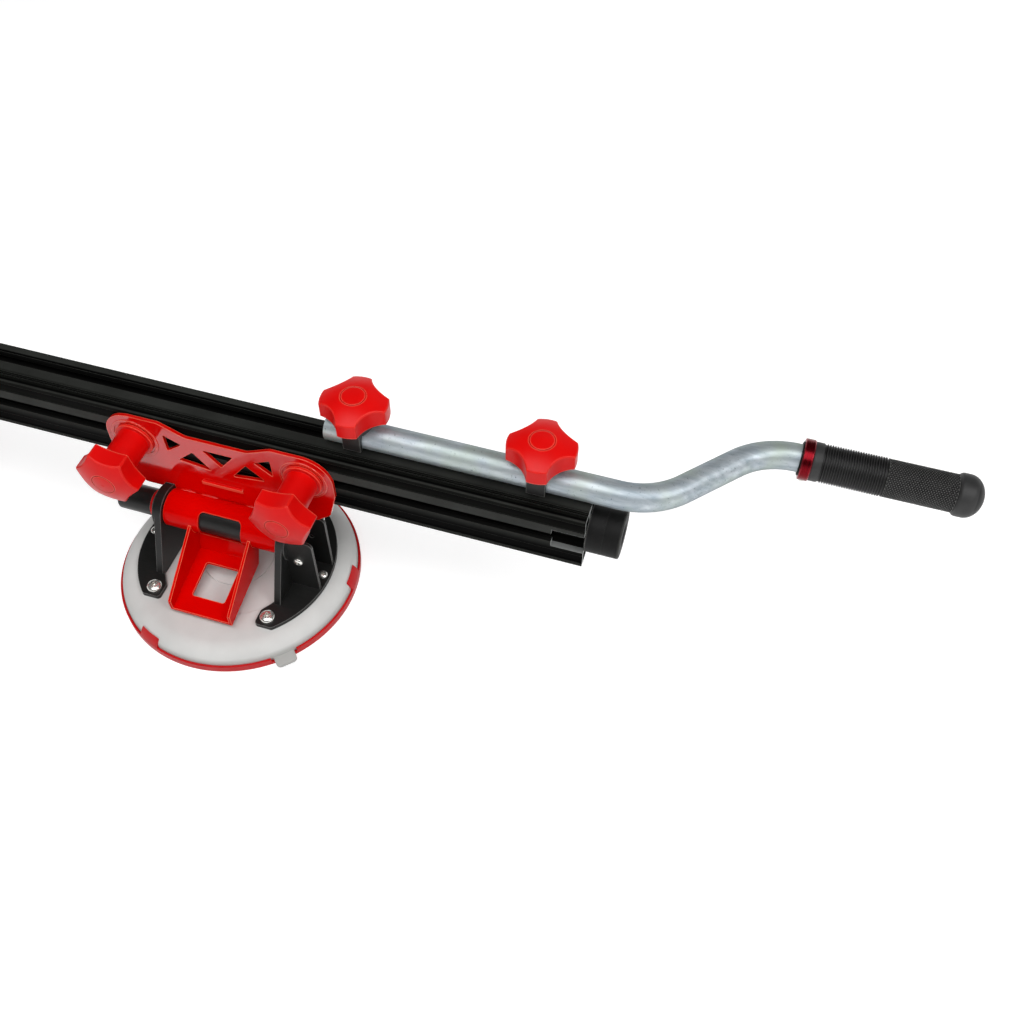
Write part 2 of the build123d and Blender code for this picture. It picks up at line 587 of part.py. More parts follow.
FIN_OUTSIDE = FIN_SPACING / 2 + FIN_THICKNESS / 2
FIN_SCREW_X = LEG_OUTER + FIN_SCREW_FROM_LEG
FIN_SCREW_Z = BAR_Z - FIN_SCREW_DROP


def make_leg(finned):
    """The +X leg: an upright with an eye for the pump's barrel, on a flange that follows the pad's edge."""
    eye = Pos(0, BAR_Z) * Circle(LEG_EYE_DIAMETER / 2)
    foot = panel((-LEG_FOOT_WIDTH / 2, LEG_FOOT_WIDTH / 2), (PAD_TOP, FLANGE_TOP))
    side = make_hull(eye.edges() + foot.edges())
    leg = extrude(Plane.YZ.offset(LEG_INNER) * side, amount=LEG_PLATE)
    leg += along_x(LEG_EYE_DIAMETER / 2, LEG_OUTER, LEG_OUTER + LEG_EYE_RIM, 0, BAR_Z)
    toe = LEG_INNER - FLANGE_TOE
    flange = Circle(FLANGE_RADIUS) & panel((toe, FLANGE_RADIUS), (-FLANGE_HALF_WIDTH, FLANGE_HALF_WIDTH))
    shoulder = FLANGE_HALF_WIDTH - FLANGE_TOE_WIDTH
    flange -= outline((toe, -shoulder), (LEG_INNER, -FLANGE_WAIST), (LEG_INNER, FLANGE_WAIST),
                      (toe, shoulder))
    flange = fillet(flange.vertices(), FLANGE_ROUND)
    leg += extrude(Pos(0, 0, PAD_TOP) * flange, amount=FLANGE_HEIGHT)
    if finned:
        end = FLANGE_RADIUS * cos(asin(FIN_OUTSIDE / FLANGE_RADIUS)) - FIN_MARGIN
        for y in (-FIN_SPACING / 2, FIN_SPACING / 2):
            fin = block((LEG_INNER, end), (y - FIN_THICKNESS / 2, y + FIN_THICKNESS / 2),
                        (PAD_TOP, BAR_Z + FIN_RISE))
            leg += fillet(fin.edges().filter_by(Axis.Y).sort_by(Axis.X)[-2:].sort_by(Axis.Z)[-1], FIN_ROUND)
        for y in (-FIN_OUTSIDE, FIN_OUTSIDE):
            hole = Pos(FIN_SCREW_X, y, FIN_SCREW_Z) * Rot(90, 0, 0) * Cylinder(
                SMALL_SCREW / 2 + FIT_GAP, 2 * FIN_THICKNESS)
            leg -= hole
    leg -= along_x(BARREL_DIAMETER / 2 + FIT_GAP, LEG_INNER, LEG_OUTER + LEG_EYE_RIM, 0, BAR_Z)
    return leg - screw_holes(PAD_TOP, FLANGE_TOP, FIT_GAP)


def pan_screw(shank, head, height, length):
    """A pan-headed screw with its seat at z = 0, pointing down."""
    half = height / 2
    cap = upright(head / 2, 0, half) + Pos(0, 0, half + half / 2) * Cone(head / 2, head / 3, half)
    return cap + upright(shank / 2, -length, 0)


def make_leg_screws():
    """Pan-headed screws of both legs, as separate solids."""
    big, small = screw_places()
    sizes = ((big, BIG_SCREW, BIG_SCREW_HEAD, BIG_SCREW_HEAD_HEIGHT),
             (small, SMALL_SCREW, SMALL_SCREW_HEAD, SMALL_SCREW_HEAD_HEIGHT))
    screws = []
    for places, shank, head, height in sizes:
        for x, y in places:
            for side in (-1, 1):
                screws.append(Pos(side * x, y, FLANGE_TOP) * pan_screw(shank, head, height, SCREW_REACH))
    for side in (-1, 1):
        seat = Pos(FIN_SCREW_X, side * FIN_OUTSIDE, FIN_SCREW_Z) * Rot(-90 * side, 0, 0)
        screws.append(seat * pan_screw(SMALL_SCREW, SMALL_SCREW_HEAD, SMALL_SCREW_HEAD_HEIGHT,
                                       1.5 * FIN_THICKNESS))
    return screws


BARREL_START = -(LEG_OUTER + LEG_EYE_RIM)
BARREL_END = LEG_OUTER + LEG_EYE_RIM
PLUNGER_RADIUS = BARREL_BORE / 2 - RUN_GAP


def make_barrel():
    barrel = along_x(BARREL_DIAMETER / 2, BARREL_START, BARREL_END, 0, BAR_Z)
    return barrel - along_x(BARREL_BORE / 2, BARREL_START, BARREL_END - BARREL_END_WALL, 0, BAR_Z)


def plunger_grooves():
    """X ranges of the red line and of the seal on the plunger, with their depths."""
    line_end = BARREL_START - LINE_FROM_BARREL
    seal_end = BARREL_START + PLUNGER_IN - SEAL_FROM_END
    return ((line_end - LINE_WIDTH, line_end, LINE_DEPTH), (seal_end - SEAL_WIDTH, seal_end, SEAL_DEPTH))


def make_plunger():
    start, end = BARREL_START - PLUNGER_OUT, BARREL_START + PLUNGER_IN
    plunger = along_x(PLUNGER_RADIUS, start, end, 0, BAR_Z)
    plunger = fillet(plunger.faces().sort_by(Axis.X)[0].edges(), PLUNGER_ROUND)
    plunger -= along_x(PLUNGER_BORE / 2, start + PLUNGER_FACE, end, 0, BAR_Z)
    for first, last, depth in plunger_grooves():
        plunger -= band(first, last, depth)
    return plunger


def band(first, last, depth):
    """A flush band that fills a groove round the plunger."""
    ring = along_x(PLUNGER_RADIUS, first, last, 0, BAR_Z)
    return ring - along_x(PLUNGER_RADIUS - depth, first, last, 0, BAR_Z)


# Bracket that hangs a cup from the rail


def make_sleeve():
    half = LEG_INNER - SLEEVE_GAP
    sleeve = along_x(SLEEVE_RADIUS, -half, half, 0, BAR_Z)
    sleeve -= along_x(BARREL_DIAMETER / 2 + FIT_GAP, -half, half, 0, BAR_Z)
    # Window in the front, with round corners, cut along the direction half-way between its two edges
    top, bottom = WINDOW_TOP_ANGLE, WINDOW_BOTTOM_ANGLE
    height = 2 * SLEEVE_RADIUS * sin(radians((top - bottom) / 2))
    window = RectangleRounded(WINDOW_LENGTH, height, WINDOW_ROUND)
    cutter = extrude(Plane.XZ * window, amount=SLEEVE_DIAMETER)
    return sleeve - Pos(0, 0, BAR_Z) * Rot(-(top + bottom) / 2, 0, 0) * cutter


def truss_windows():
    """The five triangles cut in the plate, pointing down, up and outwards in turn."""
    top = SLOT_Z + TRUSS_TOP
    side_top = top - TRUSS_SIDE_DROP
    side_low = side_top - TRUSS_SIDE_HEIGHT
    end_top = top + TRUSS_END_RISE
    windows = [outline((-TRUSS_MID_HALF, top), (TRUSS_MID_HALF, top), (0, top - TRUSS_HEIGHT))]
    for side in (-1, 1):
        windows.append(outline((side * TRUSS_SIDE_APEX, side_top), (side * TRUSS_SIDE_INNER, side_low),
                               (side * TRUSS_SIDE_OUTER, side_low + TRUSS_SIDE_TILT)))
        windows.append(outline((side * TRUSS_END_OUTER, end_top), (side * TRUSS_END_INNER, top),
                               (side * TRUSS_END_OUTER, end_top - TRUSS_END_HEIGHT)))
    return [fillet(window.vertices(), TRUSS_ROUND) for window in windows]


def make_plate():
    """The bracket's plate: flat against the rail, pierced like a truss, its foot on the sleeve's back."""
    end, crest = PLATE_LENGTH / 2, SLOT_Z + PLATE_TOP
    half = LEG_INNER - SLEEVE_GAP
    sides = []
    for rise in PLATE_FOOT_RISES:
        sides.append([(PLATE_DIP_HALF, crest - PLATE_DIP), (PLATE_CREST_HALF, crest), (end, crest),
                      (end, SLOT_Z - PLATE_KNEE_DROP), (PLATE_TAPER_HALF, SLOT_Z - PLATE_TAPER_DROP),
                      (PLATE_FOOT_HALF, BAR_Z + rise), (half, BAR_Z + rise), (half, BAR_Z)])
    left, right = sides
    sheet = outline(*right, *[(-x, z) for x, z in reversed(left)])
    above = sheet.vertices().filter_by(lambda corner: corner.Y > SLOT_Z)
    waist = above.filter_by(lambda corner: abs(corner.X) < PLATE_CREST_HALF + 1)
    sheet = fillet(waist, PLATE_ROUND)
    corners = sheet.vertices().filter_by(lambda corner: abs(corner.X) > end - 1 and corner.Y > SLOT_Z)
    sheet = fillet(corners, PLATE_END_ROUND)
    lower = sheet.vertices().filter_by(lambda corner: abs(corner.X) > half + 1 and corner.Y < SLOT_Z)
    sheet = fillet(lower, PLATE_LOWER_ROUND)
    sheet -= truss_windows()
    for side in (-1, 1):
        sheet -= Pos(side * KNOB_HALF, SLOT_Z) * Circle(STUD_HOLE)
    plate = extrude(Plane.XZ.offset(-PLATE_BACK_FROM_CUP) * sheet, amount=PLATE_THICKNESS)
    ring = Circle(BOSS_DIAMETER / 2) - Circle(BOSS_DIAMETER / 2 - BOSS_WIDTH)
    for side in (-1, 1):
        boss = Pos(side * KNOB_HALF, SLOT_Z) * ring
        plate += extrude(Plane.XZ.offset(-PLATE_FRONT) * boss, amount=BOSS_HEIGHT)
    # Strip that stands out from the plate above the sleeve
    strip_z = SLOT_Z - STRIP_DROP
    plate += block((STRIP_SHIFT - STRIP_LENGTH / 2, STRIP_SHIFT + STRIP_LENGTH / 2),
                   (PLATE_FRONT - STRIP_PROUD, PLATE_FRONT + PLATE_THICKNESS / 2),
                   (strip_z - STRIP_HEIGHT / 2, strip_z + STRIP_HEIGHT / 2))
    # The sleeve lies in the plate's foot, and the legs' eyes stand clear of it
    plate -= along_x(SLEEVE_RADIUS, -LEG_INNER, LEG_INNER, 0, BAR_Z)
    eye = LEG_EYE_DIAMETER / 2 + EYE_CLEARANCE
    for side in (-1, 1):
        inner, outer = sorted((side * half, side * (BARREL_END + EYE_CLEARANCE)))
        plate -= along_x(eye, inner, outer, 0, BAR_Z)
    return plate


def make_tongue():
    """A channel under the sleeve that reaches out over the pad: a web with a window, and two tall sides."""
    half = TONGUE_WIDTH / 2
    tip = (-TONGUE_REACH, PAD_TOP + TONGUE_TIP_RISE)
    heel = (-TONGUE_HEEL_REACH, PAD_TOP + TONGUE_HEEL_RISE)
    back = (0, BAR_Z)
    web = outline(tip, heel, back, (back[0] - TONGUE_SHEET, back[1]),
                  (heel[0] - TONGUE_SHEET / 2, heel[1] + TONGUE_SHEET), (tip[0], tip[1] + TONGUE_SHEET))
    side = outline(tip, heel, back, (-SLEEVE_RADIUS, BAR_Z + TONGUE_SIDE_TOP),
                   (tip[0], tip[1] + TONGUE_TIP_HEIGHT))
    tongue = extrude(Plane.YZ * web, amount=half, both=True)
    for start in (-half, half - TONGUE_SHEET):
        tongue += extrude(Plane.YZ.offset(start) * side, amount=TONGUE_SHEET)
    window = panel((-TONGUE_WINDOW_WIDTH / 2, TONGUE_WINDOW_WIDTH / 2),
                   (-TONGUE_WINDOW_LAST, -TONGUE_WINDOW_FIRST))
    window = fillet(window.vertices(), TONGUE_WINDOW_ROUND)
    tongue -= extrude(Pos(0, 0, PAD_TOP) * window, amount=LEG_HEIGHT / 2)
    return tongue - along_x(SLEEVE_RADIUS, -LEG_INNER, LEG_INNER, 0, BAR_Z)


def make_cup():
    """The pieces of one cup with its bracket, by name, round the cup's own centre."""
    line, seal = plunger_grooves()
    facing = Rot(90, 0, 0)     # turns a knob's axis from +Z to -Y
    rail_face = RAIL_FRONT_FROM_CUP
    knob_x = (("left", -KNOB_HALF), ("right", KNOB_HALF))
    pieces = {
        "cup_pad": make_pad(),
        "cup_cover": make_cover(),
        "cup_leg_left": mirror(make_leg(finned=False), about=Plane.YZ),
        "cup_leg_right": make_leg(finned=True),
        "cup_screws": make_leg_screws(),
        "pump_barrel": make_barrel(),
        "pump_plunger": make_plunger(),
        "pump_red_line": band(*line),
        "pump_seal": band(*seal),
        "bracket_sleeve": make_sleeve(),
        "bracket_plate": make_plate(),
        "bracket_tongue": make_tongue(),
        "bracket_nuts": [Pos(x, rail_face, SLOT_Z) * facing * make_nut(0) for _, x in knob_x],
    }
    for (place, x), turn in zip(knob_x, BRACKET_KNOB_TURNS):
        seat = Pos(x, PLATE_FRONT - SEAT_GAP, SLOT_Z) * facing
        pieces[f"bracket_knob_{place}"] = seat * make_knob(
            KNOB_HUB_LENGTH, BRACKET_KNOB_LOBES, BRACKET_KNOB_HOLLOW, turn, shoe=True)
        pieces[f"bracket_stud_{place}"] = seat * make_stud(PLATE_THICKNESS + 2 * SEAT_GAP + STUD_TIP)
    return pieces


# Assembly: one node for each piece, or for each group of equal fasteners


def save(name, shape):
    solid = Compound(children=list(shape)) if isinstance(shape, list) else shape
    export_step(solid, f"parts/{name}.step")


def opposite(shape):
    """The same piece at the rail's other end."""
    if isinstance(shape, list):
        return [mirror(each, about=Plane.YZ) for each in shape]
    return mirror(shape, about=Plane.YZ)


def moved(place, shape):
    if isinstance(shape, list):
        return [place * each for each in shape]
    return place * shape


buffer, buffer_screw = make_buffer(), make_buffer_screw()
save("rail", make_rail())
save("buffer_right", buffer)
save("buffer_left", opposite(buffer))
save("buffer_screws", [buffer_screw, opposite(buffer_screw)])

for name, shape in make_handle().items():
    save(f"{name}_right", shape)
    save(f"{name}_left", opposite(shape))

for name, shape in make_cup().items():
    for end, x in (("right", CUP_X), ("left", -CUP_X)):
        save(f"{name}_{end}_cup", moved(Pos(x, CUP_Y, 0), shape))
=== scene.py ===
# %% [markdown]
# # Slab carrying frame
# A carrying bar for large slabs: an extruded rail, two pump suction cups that hang from its front slot on red
# brackets, and two bent handles that are clamped on its top slot by star knobs. The solids come from the frame,
# in metres, with X along the rail, Y from the cups to the handles and Z up. This script gives every surface its
# finish, and models the soft and small forms that the eye finds on the real thing.

# %% Load the frame
from math import atan2, cos, hypot, pi, radians, sin

import bmesh
import bpy
from mathutils import Matrix, Vector


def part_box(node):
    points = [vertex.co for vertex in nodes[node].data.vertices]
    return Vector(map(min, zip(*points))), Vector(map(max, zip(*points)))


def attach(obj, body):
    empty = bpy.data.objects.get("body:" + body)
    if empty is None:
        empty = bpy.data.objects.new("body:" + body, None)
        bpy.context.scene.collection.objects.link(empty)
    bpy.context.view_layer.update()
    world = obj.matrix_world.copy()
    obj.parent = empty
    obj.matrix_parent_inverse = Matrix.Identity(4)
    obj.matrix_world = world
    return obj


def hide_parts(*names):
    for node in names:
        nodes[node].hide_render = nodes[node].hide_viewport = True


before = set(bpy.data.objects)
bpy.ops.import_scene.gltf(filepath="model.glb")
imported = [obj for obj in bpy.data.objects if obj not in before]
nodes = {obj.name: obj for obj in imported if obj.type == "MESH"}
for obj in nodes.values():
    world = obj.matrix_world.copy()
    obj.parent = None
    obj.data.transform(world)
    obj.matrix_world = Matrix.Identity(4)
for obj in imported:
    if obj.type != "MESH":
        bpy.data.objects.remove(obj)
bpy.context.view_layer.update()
MM = 0.001

# %% [markdown]
# ## Camera
# The photograph looks down on one end of the bar from in front of its right end. The camera stands where the
# vanishing lines of the rail, the round rim of the cup and the knobs put it. The lens follows from the focal
# length in pixels, because the frame is as wide as the sensor is.

# %% Camera
EYE = (0.5846, -0.4912, 0.8186)
LOOK_DOWN = 52.13
TURN = 16.08
ROLL = 1.02
FOCAL_PIXELS = 1101.0
FRAME_PIXELS = 1024
SENSOR = 36.0

camera = bpy.data.objects.new("camera", bpy.data.cameras.new("camera"))
bpy.context.scene.collection.objects.link(camera)
camera.data.sensor_width = SENSOR
camera.data.lens = FOCAL_PIXELS / FRAME_PIXELS * SENSOR
camera.data.clip_start = 0.01
turn_to_view = (Matrix.Rotation(radians(TURN), 4, "Z")
                @ Matrix.Rotation(radians(90 - LOOK_DOWN), 4, "X")
                @ Matrix.Rotation(radians(ROLL), 4, "Z"))
camera.matrix_world = Matrix.Translation(EYE) @ turn_to_view
bpy.context.scene.camera = camera
print("lens:", round(camera.data.lens, 2), "mm")

# %% [markdown]
# ## Helpers for finishes
# Colours are written as sRGB hex values, as a paint chart gives them, and turned to the linear values that the
# shader works with. One function adds a node and sets what is its own. Another sets or links a node's sockets,
# and also fills in the shader at the end of each finish. Every finish reads Object coordinates, which here are
# metres in the bar's own frame, so a pattern's scale is one over its real size.

# %% Helpers for finishes
def linear(hex_colour):
    """An sRGB hex colour as the linear colour that a shader socket takes."""
    values = [int(hex_colour[i:i + 2], 16) / 255 for i in (1, 3, 5)]
    return [v / 12.92 if v <= 0.04045 else ((v + 0.055) / 1.055) ** 2.4 for v in values] + [1.0]


def plug(tree, node, inputs):
    """Sets a node's inputs to values, or links them where another node's output is given."""
    for key, value in inputs.items():
        if isinstance(value, bpy.types.NodeSocket):
            tree.links.new(value, node.inputs[key])
        else:
            node.inputs[key].default_value = value


def add(tree, kind, inputs=None, **settings):
    """Adds a node of one kind, with its settings, and sets or links its inputs."""
    node = tree.nodes.new("ShaderNode" + kind)
    for name, value in settings.items():
        setattr(node, name, value)
    plug(tree, node, inputs or {})
    return node


def new_finish(name):
    """A material with a Principled shader, and the pieces that its pattern is built from."""
    material = bpy.data.materials.new(name)
    material.use_nodes = True
    tree = material.node_tree
    shader = tree.nodes["Principled BSDF"]
    place = add(tree, "TexCoord").outputs["Object"]
    return material, tree, shader, place


def dress(material, *names):
    """Gives a finish to every CAD node whose name starts with one of the names."""
    count = 0
    for name, piece in nodes.items():
        if name.startswith(names):
            piece.data.materials.clear()
            piece.data.materials.append(material)
            count += 1
    print(material.name, "on", count, "nodes")


# %% [markdown]
# ## Edges that catch the light
# A moulded or coated edge is never quite sharp: it is rounded by a few tenths of a millimetre, and the paint is
# thinner and rubbed paler there. The finishes paint the edges pale, partly for that wear and partly as a painted
# highlight. The Bevel node rounds the normal within a radius of an edge, and the solids stay as they are. Wear
# and painted highlight belong to the edges that stick out and not to corners that lie deep. Ambient Occlusion
# that looks into the solid tells them apart: just under an edge that sticks out, its short rays soon meet the
# next face.

# %% Edges that catch the light
EDGE_SAMPLES = 5
DEPTH_ON_FACE = 0.9
DEPTH_ON_EDGE = 0.62


def soft_edges(tree, radius):
    """The rounded normal near edges, and a mask that is one on an edge and nought on a flat face."""
    rounded = add(tree, "Bevel", {"Radius": radius}, samples=EDGE_SAMPLES).outputs["Normal"]
    depth = add(tree, "AmbientOcclusion", {"Distance": radius}, samples=EDGE_SAMPLES, inside=True, only_local=True)
    mask = add(tree, "MapRange", {"Value": depth.outputs["AO"], "From Min": DEPTH_ON_FACE,
                                  "From Max": DEPTH_ON_EDGE})
    return rounded, mask.outputs[0]


# %% [markdown]
# ## Black anodised aluminium
# The rail is an aluminium extrusion that was anodised black and then cut and milled. The dye gives a deep,
# slightly warm black with a weak satin gloss, and the die leaves faint lines along the bar. The bands along the
# section carry painted light and shade: painted light and a painted highlight on the bands that stand proud,
# painted shade in the hollows between them, and two fine dark lines of painted shade near the top's front edge.
# Two colour ramps set four shades on these bands, in millimetres over the front's height and over the top's
# depth, so that they run the whole bar. The other sizes are in metres. The cut ends and the faces that the
# cutter opened near them are bare metal, which masks from a face's direction and place pick out.

# %% Black anodised aluminium
RAIL_CUT = 0.474
SLOT_HEIGHT = 0.1395
MILLED_HALF = 0.0102
MILLED_BACK = 0.0062
RAIL_FRONT = 0.001025
RAIL_BACK = 0.040025
RAIL_BOTTOM = 0.1115
RAIL_TOP = 0.1675
SKIN = 1.6 * MM
FACING = 0.5
END_ON = 0.7
# Shades of the bands: HOLLOW_SHADE is painted shade in the hollows and the slot, PAINTED_SHADE painted shade on sunk
# faces, PAINTED_LIGHT painted light on proud bands, and PAINTED_HIGHLIGHT a painted highlight on the upper lip.
HOLLOW_SHADE = "#040404"
PAINTED_SHADE = "#111210"
PAINTED_LIGHT = "#2c2d2b"
PAINTED_HIGHLIGHT = "#3e3f3d"
FRONT_BANDS = ((111.5, PAINTED_LIGHT), (115.0, PAINTED_LIGHT), (116.0, HOLLOW_SHADE), (127.0, HOLLOW_SHADE), (133.0, PAINTED_LIGHT), (134.5, PAINTED_LIGHT),
               (135.0, HOLLOW_SHADE), (144.0, HOLLOW_SHADE), (145.5, PAINTED_HIGHLIGHT), (153.0, PAINTED_HIGHLIGHT), (155.0, PAINTED_SHADE),
               (162.0, HOLLOW_SHADE), (164.0, PAINTED_SHADE), (166.5, PAINTED_SHADE), (167.5, PAINTED_LIGHT))
TOP_BANDS = ((1.025, PAINTED_LIGHT), (2.4, PAINTED_LIGHT), (3.2, HOLLOW_SHADE), (4.6, HOLLOW_SHADE), (5.4, PAINTED_SHADE), (6.2, PAINTED_SHADE), (7.0, HOLLOW_SHADE),
             (8.2, HOLLOW_SHADE), (11.0, PAINTED_SHADE), (14.0, PAINTED_LIGHT), (20.8, PAINTED_LIGHT), (21.5, HOLLOW_SHADE), (33.0, HOLLOW_SHADE),
             (33.8, PAINTED_LIGHT), (40.025, PAINTED_LIGHT))


def black_anodised():
    material, tree, shader, place = new_finish("black anodised aluminium")
    rounded, edge = soft_edges(tree, 0.4 * MM)
    along = add(tree, "Mapping", {"Vector": place, "Scale": (4, 900, 900)}).outputs[0]
    lines = add(tree, "TexNoise", {"Vector": along, "Scale": 1.0, "Detail": 3.0}).outputs["Fac"]
    cloud = add(tree, "TexNoise", {"Vector": place, "Scale": 1 / (35 * MM), "Detail": 4.0}).outputs["Fac"]
    spot = add(tree, "SeparateXYZ", {0: place})
    face = add(tree, "SeparateXYZ", {0: add(tree, "NewGeometry").outputs["True Normal"]})

    # Two ramps of painted light and shade, over the front's height and over the top's depth.
    across = add(tree, "MapRange", {"Value": spot.outputs["Z"], "From Min": RAIL_BOTTOM, "From Max": RAIL_TOP})
    front_light_and_shade = add(tree, "ValToRGB", {"Fac": across.outputs[0]})
    across = add(tree, "MapRange", {"Value": spot.outputs["Y"], "From Min": RAIL_FRONT, "From Max": RAIL_BACK})
    top_light_and_shade = add(tree, "ValToRGB", {"Fac": across.outputs[0]})
    for painted_light_mark, bands in ((front_light_and_shade, FRONT_BANDS), (top_light_and_shade, TOP_BANDS)):
        stops = painted_light_mark.color_ramp.elements
        first, last = bands[0][0], bands[-1][0]
        stops[0].color = linear(bands[0][1])
        stops[1].color = linear(bands[-1][1])
        for where, shade in bands[1:-1]:
            stops.new((where - first) / (last - first)).color = linear(shade)

    faces_front = add(tree, "Math", {0: face.outputs["Y"], 1: -FACING}, operation="LESS_THAN").outputs[0]
    on_front = add(tree, "Math", {0: spot.outputs["Y"], 1: RAIL_FRONT + SKIN}, operation="LESS_THAN").outputs[0]
    on_front = add(tree, "Math", {0: on_front, 1: faces_front}, operation="MULTIPLY").outputs[0]
    faces_up = add(tree, "Math", {0: face.outputs["Z"], 1: FACING}, operation="GREATER_THAN").outputs[0]
    on_top = add(tree, "Math", {0: spot.outputs["Z"], 1: RAIL_TOP - SKIN}, operation="GREATER_THAN").outputs[0]
    on_top = add(tree, "Math", {0: on_top, 1: faces_up}, operation="MULTIPLY").outputs[0]
    black = add(tree, "Mix", {0: lines, 6: linear("#080808"), 7: linear("#1a1a19")}, data_type="RGBA").outputs[2]
    banded = add(tree, "Mix", {0: on_front, 6: black, 7: front_light_and_shade.outputs[0]}, data_type="RGBA").outputs[2]
    banded = add(tree, "Mix", {0: on_top, 6: banded, 7: top_light_and_shade.outputs[0]}, data_type="RGBA").outputs[2]
    patchy = add(tree, "MapRange", {"Value": cloud, "From Min": 0.3, "From Max": 0.7, "To Min": 0.8, "To Max": 1.15})
    patchy_bands = add(tree, "VectorMath", {0: banded, "Scale": patchy.outputs[0]}, operation="SCALE").outputs[0]
    # Pale edges: partly wear, partly a painted edge highlight.
    wear_and_edge_highlight = add(tree, "Math", {0: edge, 1: 0.5}, operation="MULTIPLY").outputs[0]
    worn_and_highlit = add(tree, "Mix", {0: wear_and_edge_highlight, 6: patchy_bands, 7: linear("#50524e")}, data_type="RGBA").outputs[2]

    end_on = add(tree, "Math", {0: face.outputs["X"]}, operation="ABSOLUTE").outputs[0]
    cut_end = add(tree, "Math", {0: end_on, 1: END_ON}, operation="GREATER_THAN").outputs[0]
    out = add(tree, "Math", {0: spot.outputs["X"]}, operation="ABSOLUTE").outputs[0]
    near_end = add(tree, "Math", {0: out, 1: RAIL_CUT}, operation="GREATER_THAN").outputs[0]
    in_gap = add(tree, "Math", {0: spot.outputs["Z"], 1: SLOT_HEIGHT, 2: MILLED_HALF}, operation="COMPARE")
    in_front = add(tree, "Math", {0: spot.outputs["Y"], 1: MILLED_BACK}, operation="LESS_THAN").outputs[0]
    milled = add(tree, "Math", {0: near_end, 1: in_gap.outputs[0]}, operation="MULTIPLY").outputs[0]
    milled = add(tree, "Math", {0: milled, 1: in_front}, operation="MULTIPLY").outputs[0]
    bare = add(tree, "Math", {0: cut_end, 1: milled}, operation="MAXIMUM").outputs[0]

    colour = add(tree, "Mix", {0: milled, 6: worn_and_highlit, 7: linear("#868887")}, data_type="RGBA").outputs[2]
    colour = add(tree, "Mix", {0: cut_end, 6: colour, 7: linear("#cfd1d0")}, data_type="RGBA").outputs[2]
    metal = add(tree, "Math", {0: bare, 1: 0.35}, operation="MULTIPLY").outputs[0]
    satin = add(tree, "MapRange", {"Value": lines, "To Min": 0.3, "To Max": 0.46}).outputs[0]
    bump = add(tree, "Bump", {"Height": lines, "Strength": 0.12, "Distance": 0.05 * MM, "Normal": rounded})
    plug(tree, shader, {"Base Color": colour, "Metallic": metal, "Roughness": satin, "Normal": bump.outputs[0],
                        "Specular IOR Level": 0.01})
    return material


dress(black_anodised(), "rail")

# %% [markdown]
# ## Zinc plated steel tube
# Zinc plating on a drawn tube is pale and a little blue, with long streaks from the drawing, a tint of green
# and yellow where the bath left a film, and small dark specks. It is brighter than paint and duller than
# chrome, so most of its light is a soft reflection. A noise stretched along the bar gives the streaks, a broad
# one the tint, and a fine one the specks.

# %% Zinc plated steel tube
def zinc_plated():
    material, tree, shader, place = new_finish("zinc plated steel")
    along = add(tree, "Mapping", {"Vector": place, "Scale": (1 / (38 * MM), 1 / (6 * MM), 1 / (6 * MM))}).outputs[0]
    streak = add(tree, "TexNoise", {"Vector": along, "Scale": 1.0, "Detail": 5.0, "Roughness": 0.65}).outputs["Fac"]
    film = add(tree, "TexNoise", {"Vector": place, "Scale": 1 / (30 * MM), "Detail": 2.0}).outputs["Fac"]
    grain = add(tree, "TexNoise", {"Vector": place, "Scale": 1 / (1.6 * MM), "Detail": 3.0}).outputs["Fac"]
    spread = add(tree, "MapRange", {"Value": streak, "From Min": 0.3, "From Max": 0.7}).outputs[0]
    tint = add(tree, "MapRange", {"Value": film, "From Min": 0.42, "From Max": 0.68}).outputs[0]
    zinc = add(tree, "Mix", {0: spread, 6: linear("#96a2ab"), 7: linear("#ccd4d9")}, data_type="RGBA").outputs[2]
    zinc = add(tree, "Mix", {0: tint, 6: zinc, 7: linear("#b4c0b8")}, data_type="RGBA").outputs[2]
    speck = add(tree, "MapRange", {"Value": grain, "From Min": 0.64, "From Max": 0.76}).outputs[0]
    colour = add(tree, "Mix", {0: speck, 6: zinc, 7: linear("#6a747c")}, data_type="RGBA").outputs[2]
    gloss = add(tree, "MapRange", {"Value": spread, "To Min": 0.52, "To Max": 0.42}).outputs[0]
    bump = add(tree, "Bump", {"Height": grain, "Strength": 0.15, "Distance": 0.04 * MM})
    plug(tree, shader, {"Base Color": colour, "Metallic": 0.64, "Roughness": gloss, "Normal": bump.outputs[0],
                        "Specular Tint": linear("#50565c")})
    return material


dress(zinc_plated(), "handle_tube")

# %% [markdown]
# ## Red moulded nylon
# The star knobs are moulded from nylon that is dyed right through. A spark-eroded mould gives them a fine satin
# grain. Their edges are painted paler, partly as wear from handling and partly as a painted highlight, and the
# fine groove round the cap and other deep corners get a darker red as painted shade, which Ambient Occlusion over
# a short distance finds. The red is strong and pure, so the base colour has next to no green or blue, and the
# gloss comes from the shader's own reflection, apart from the painted highlight on the edges.

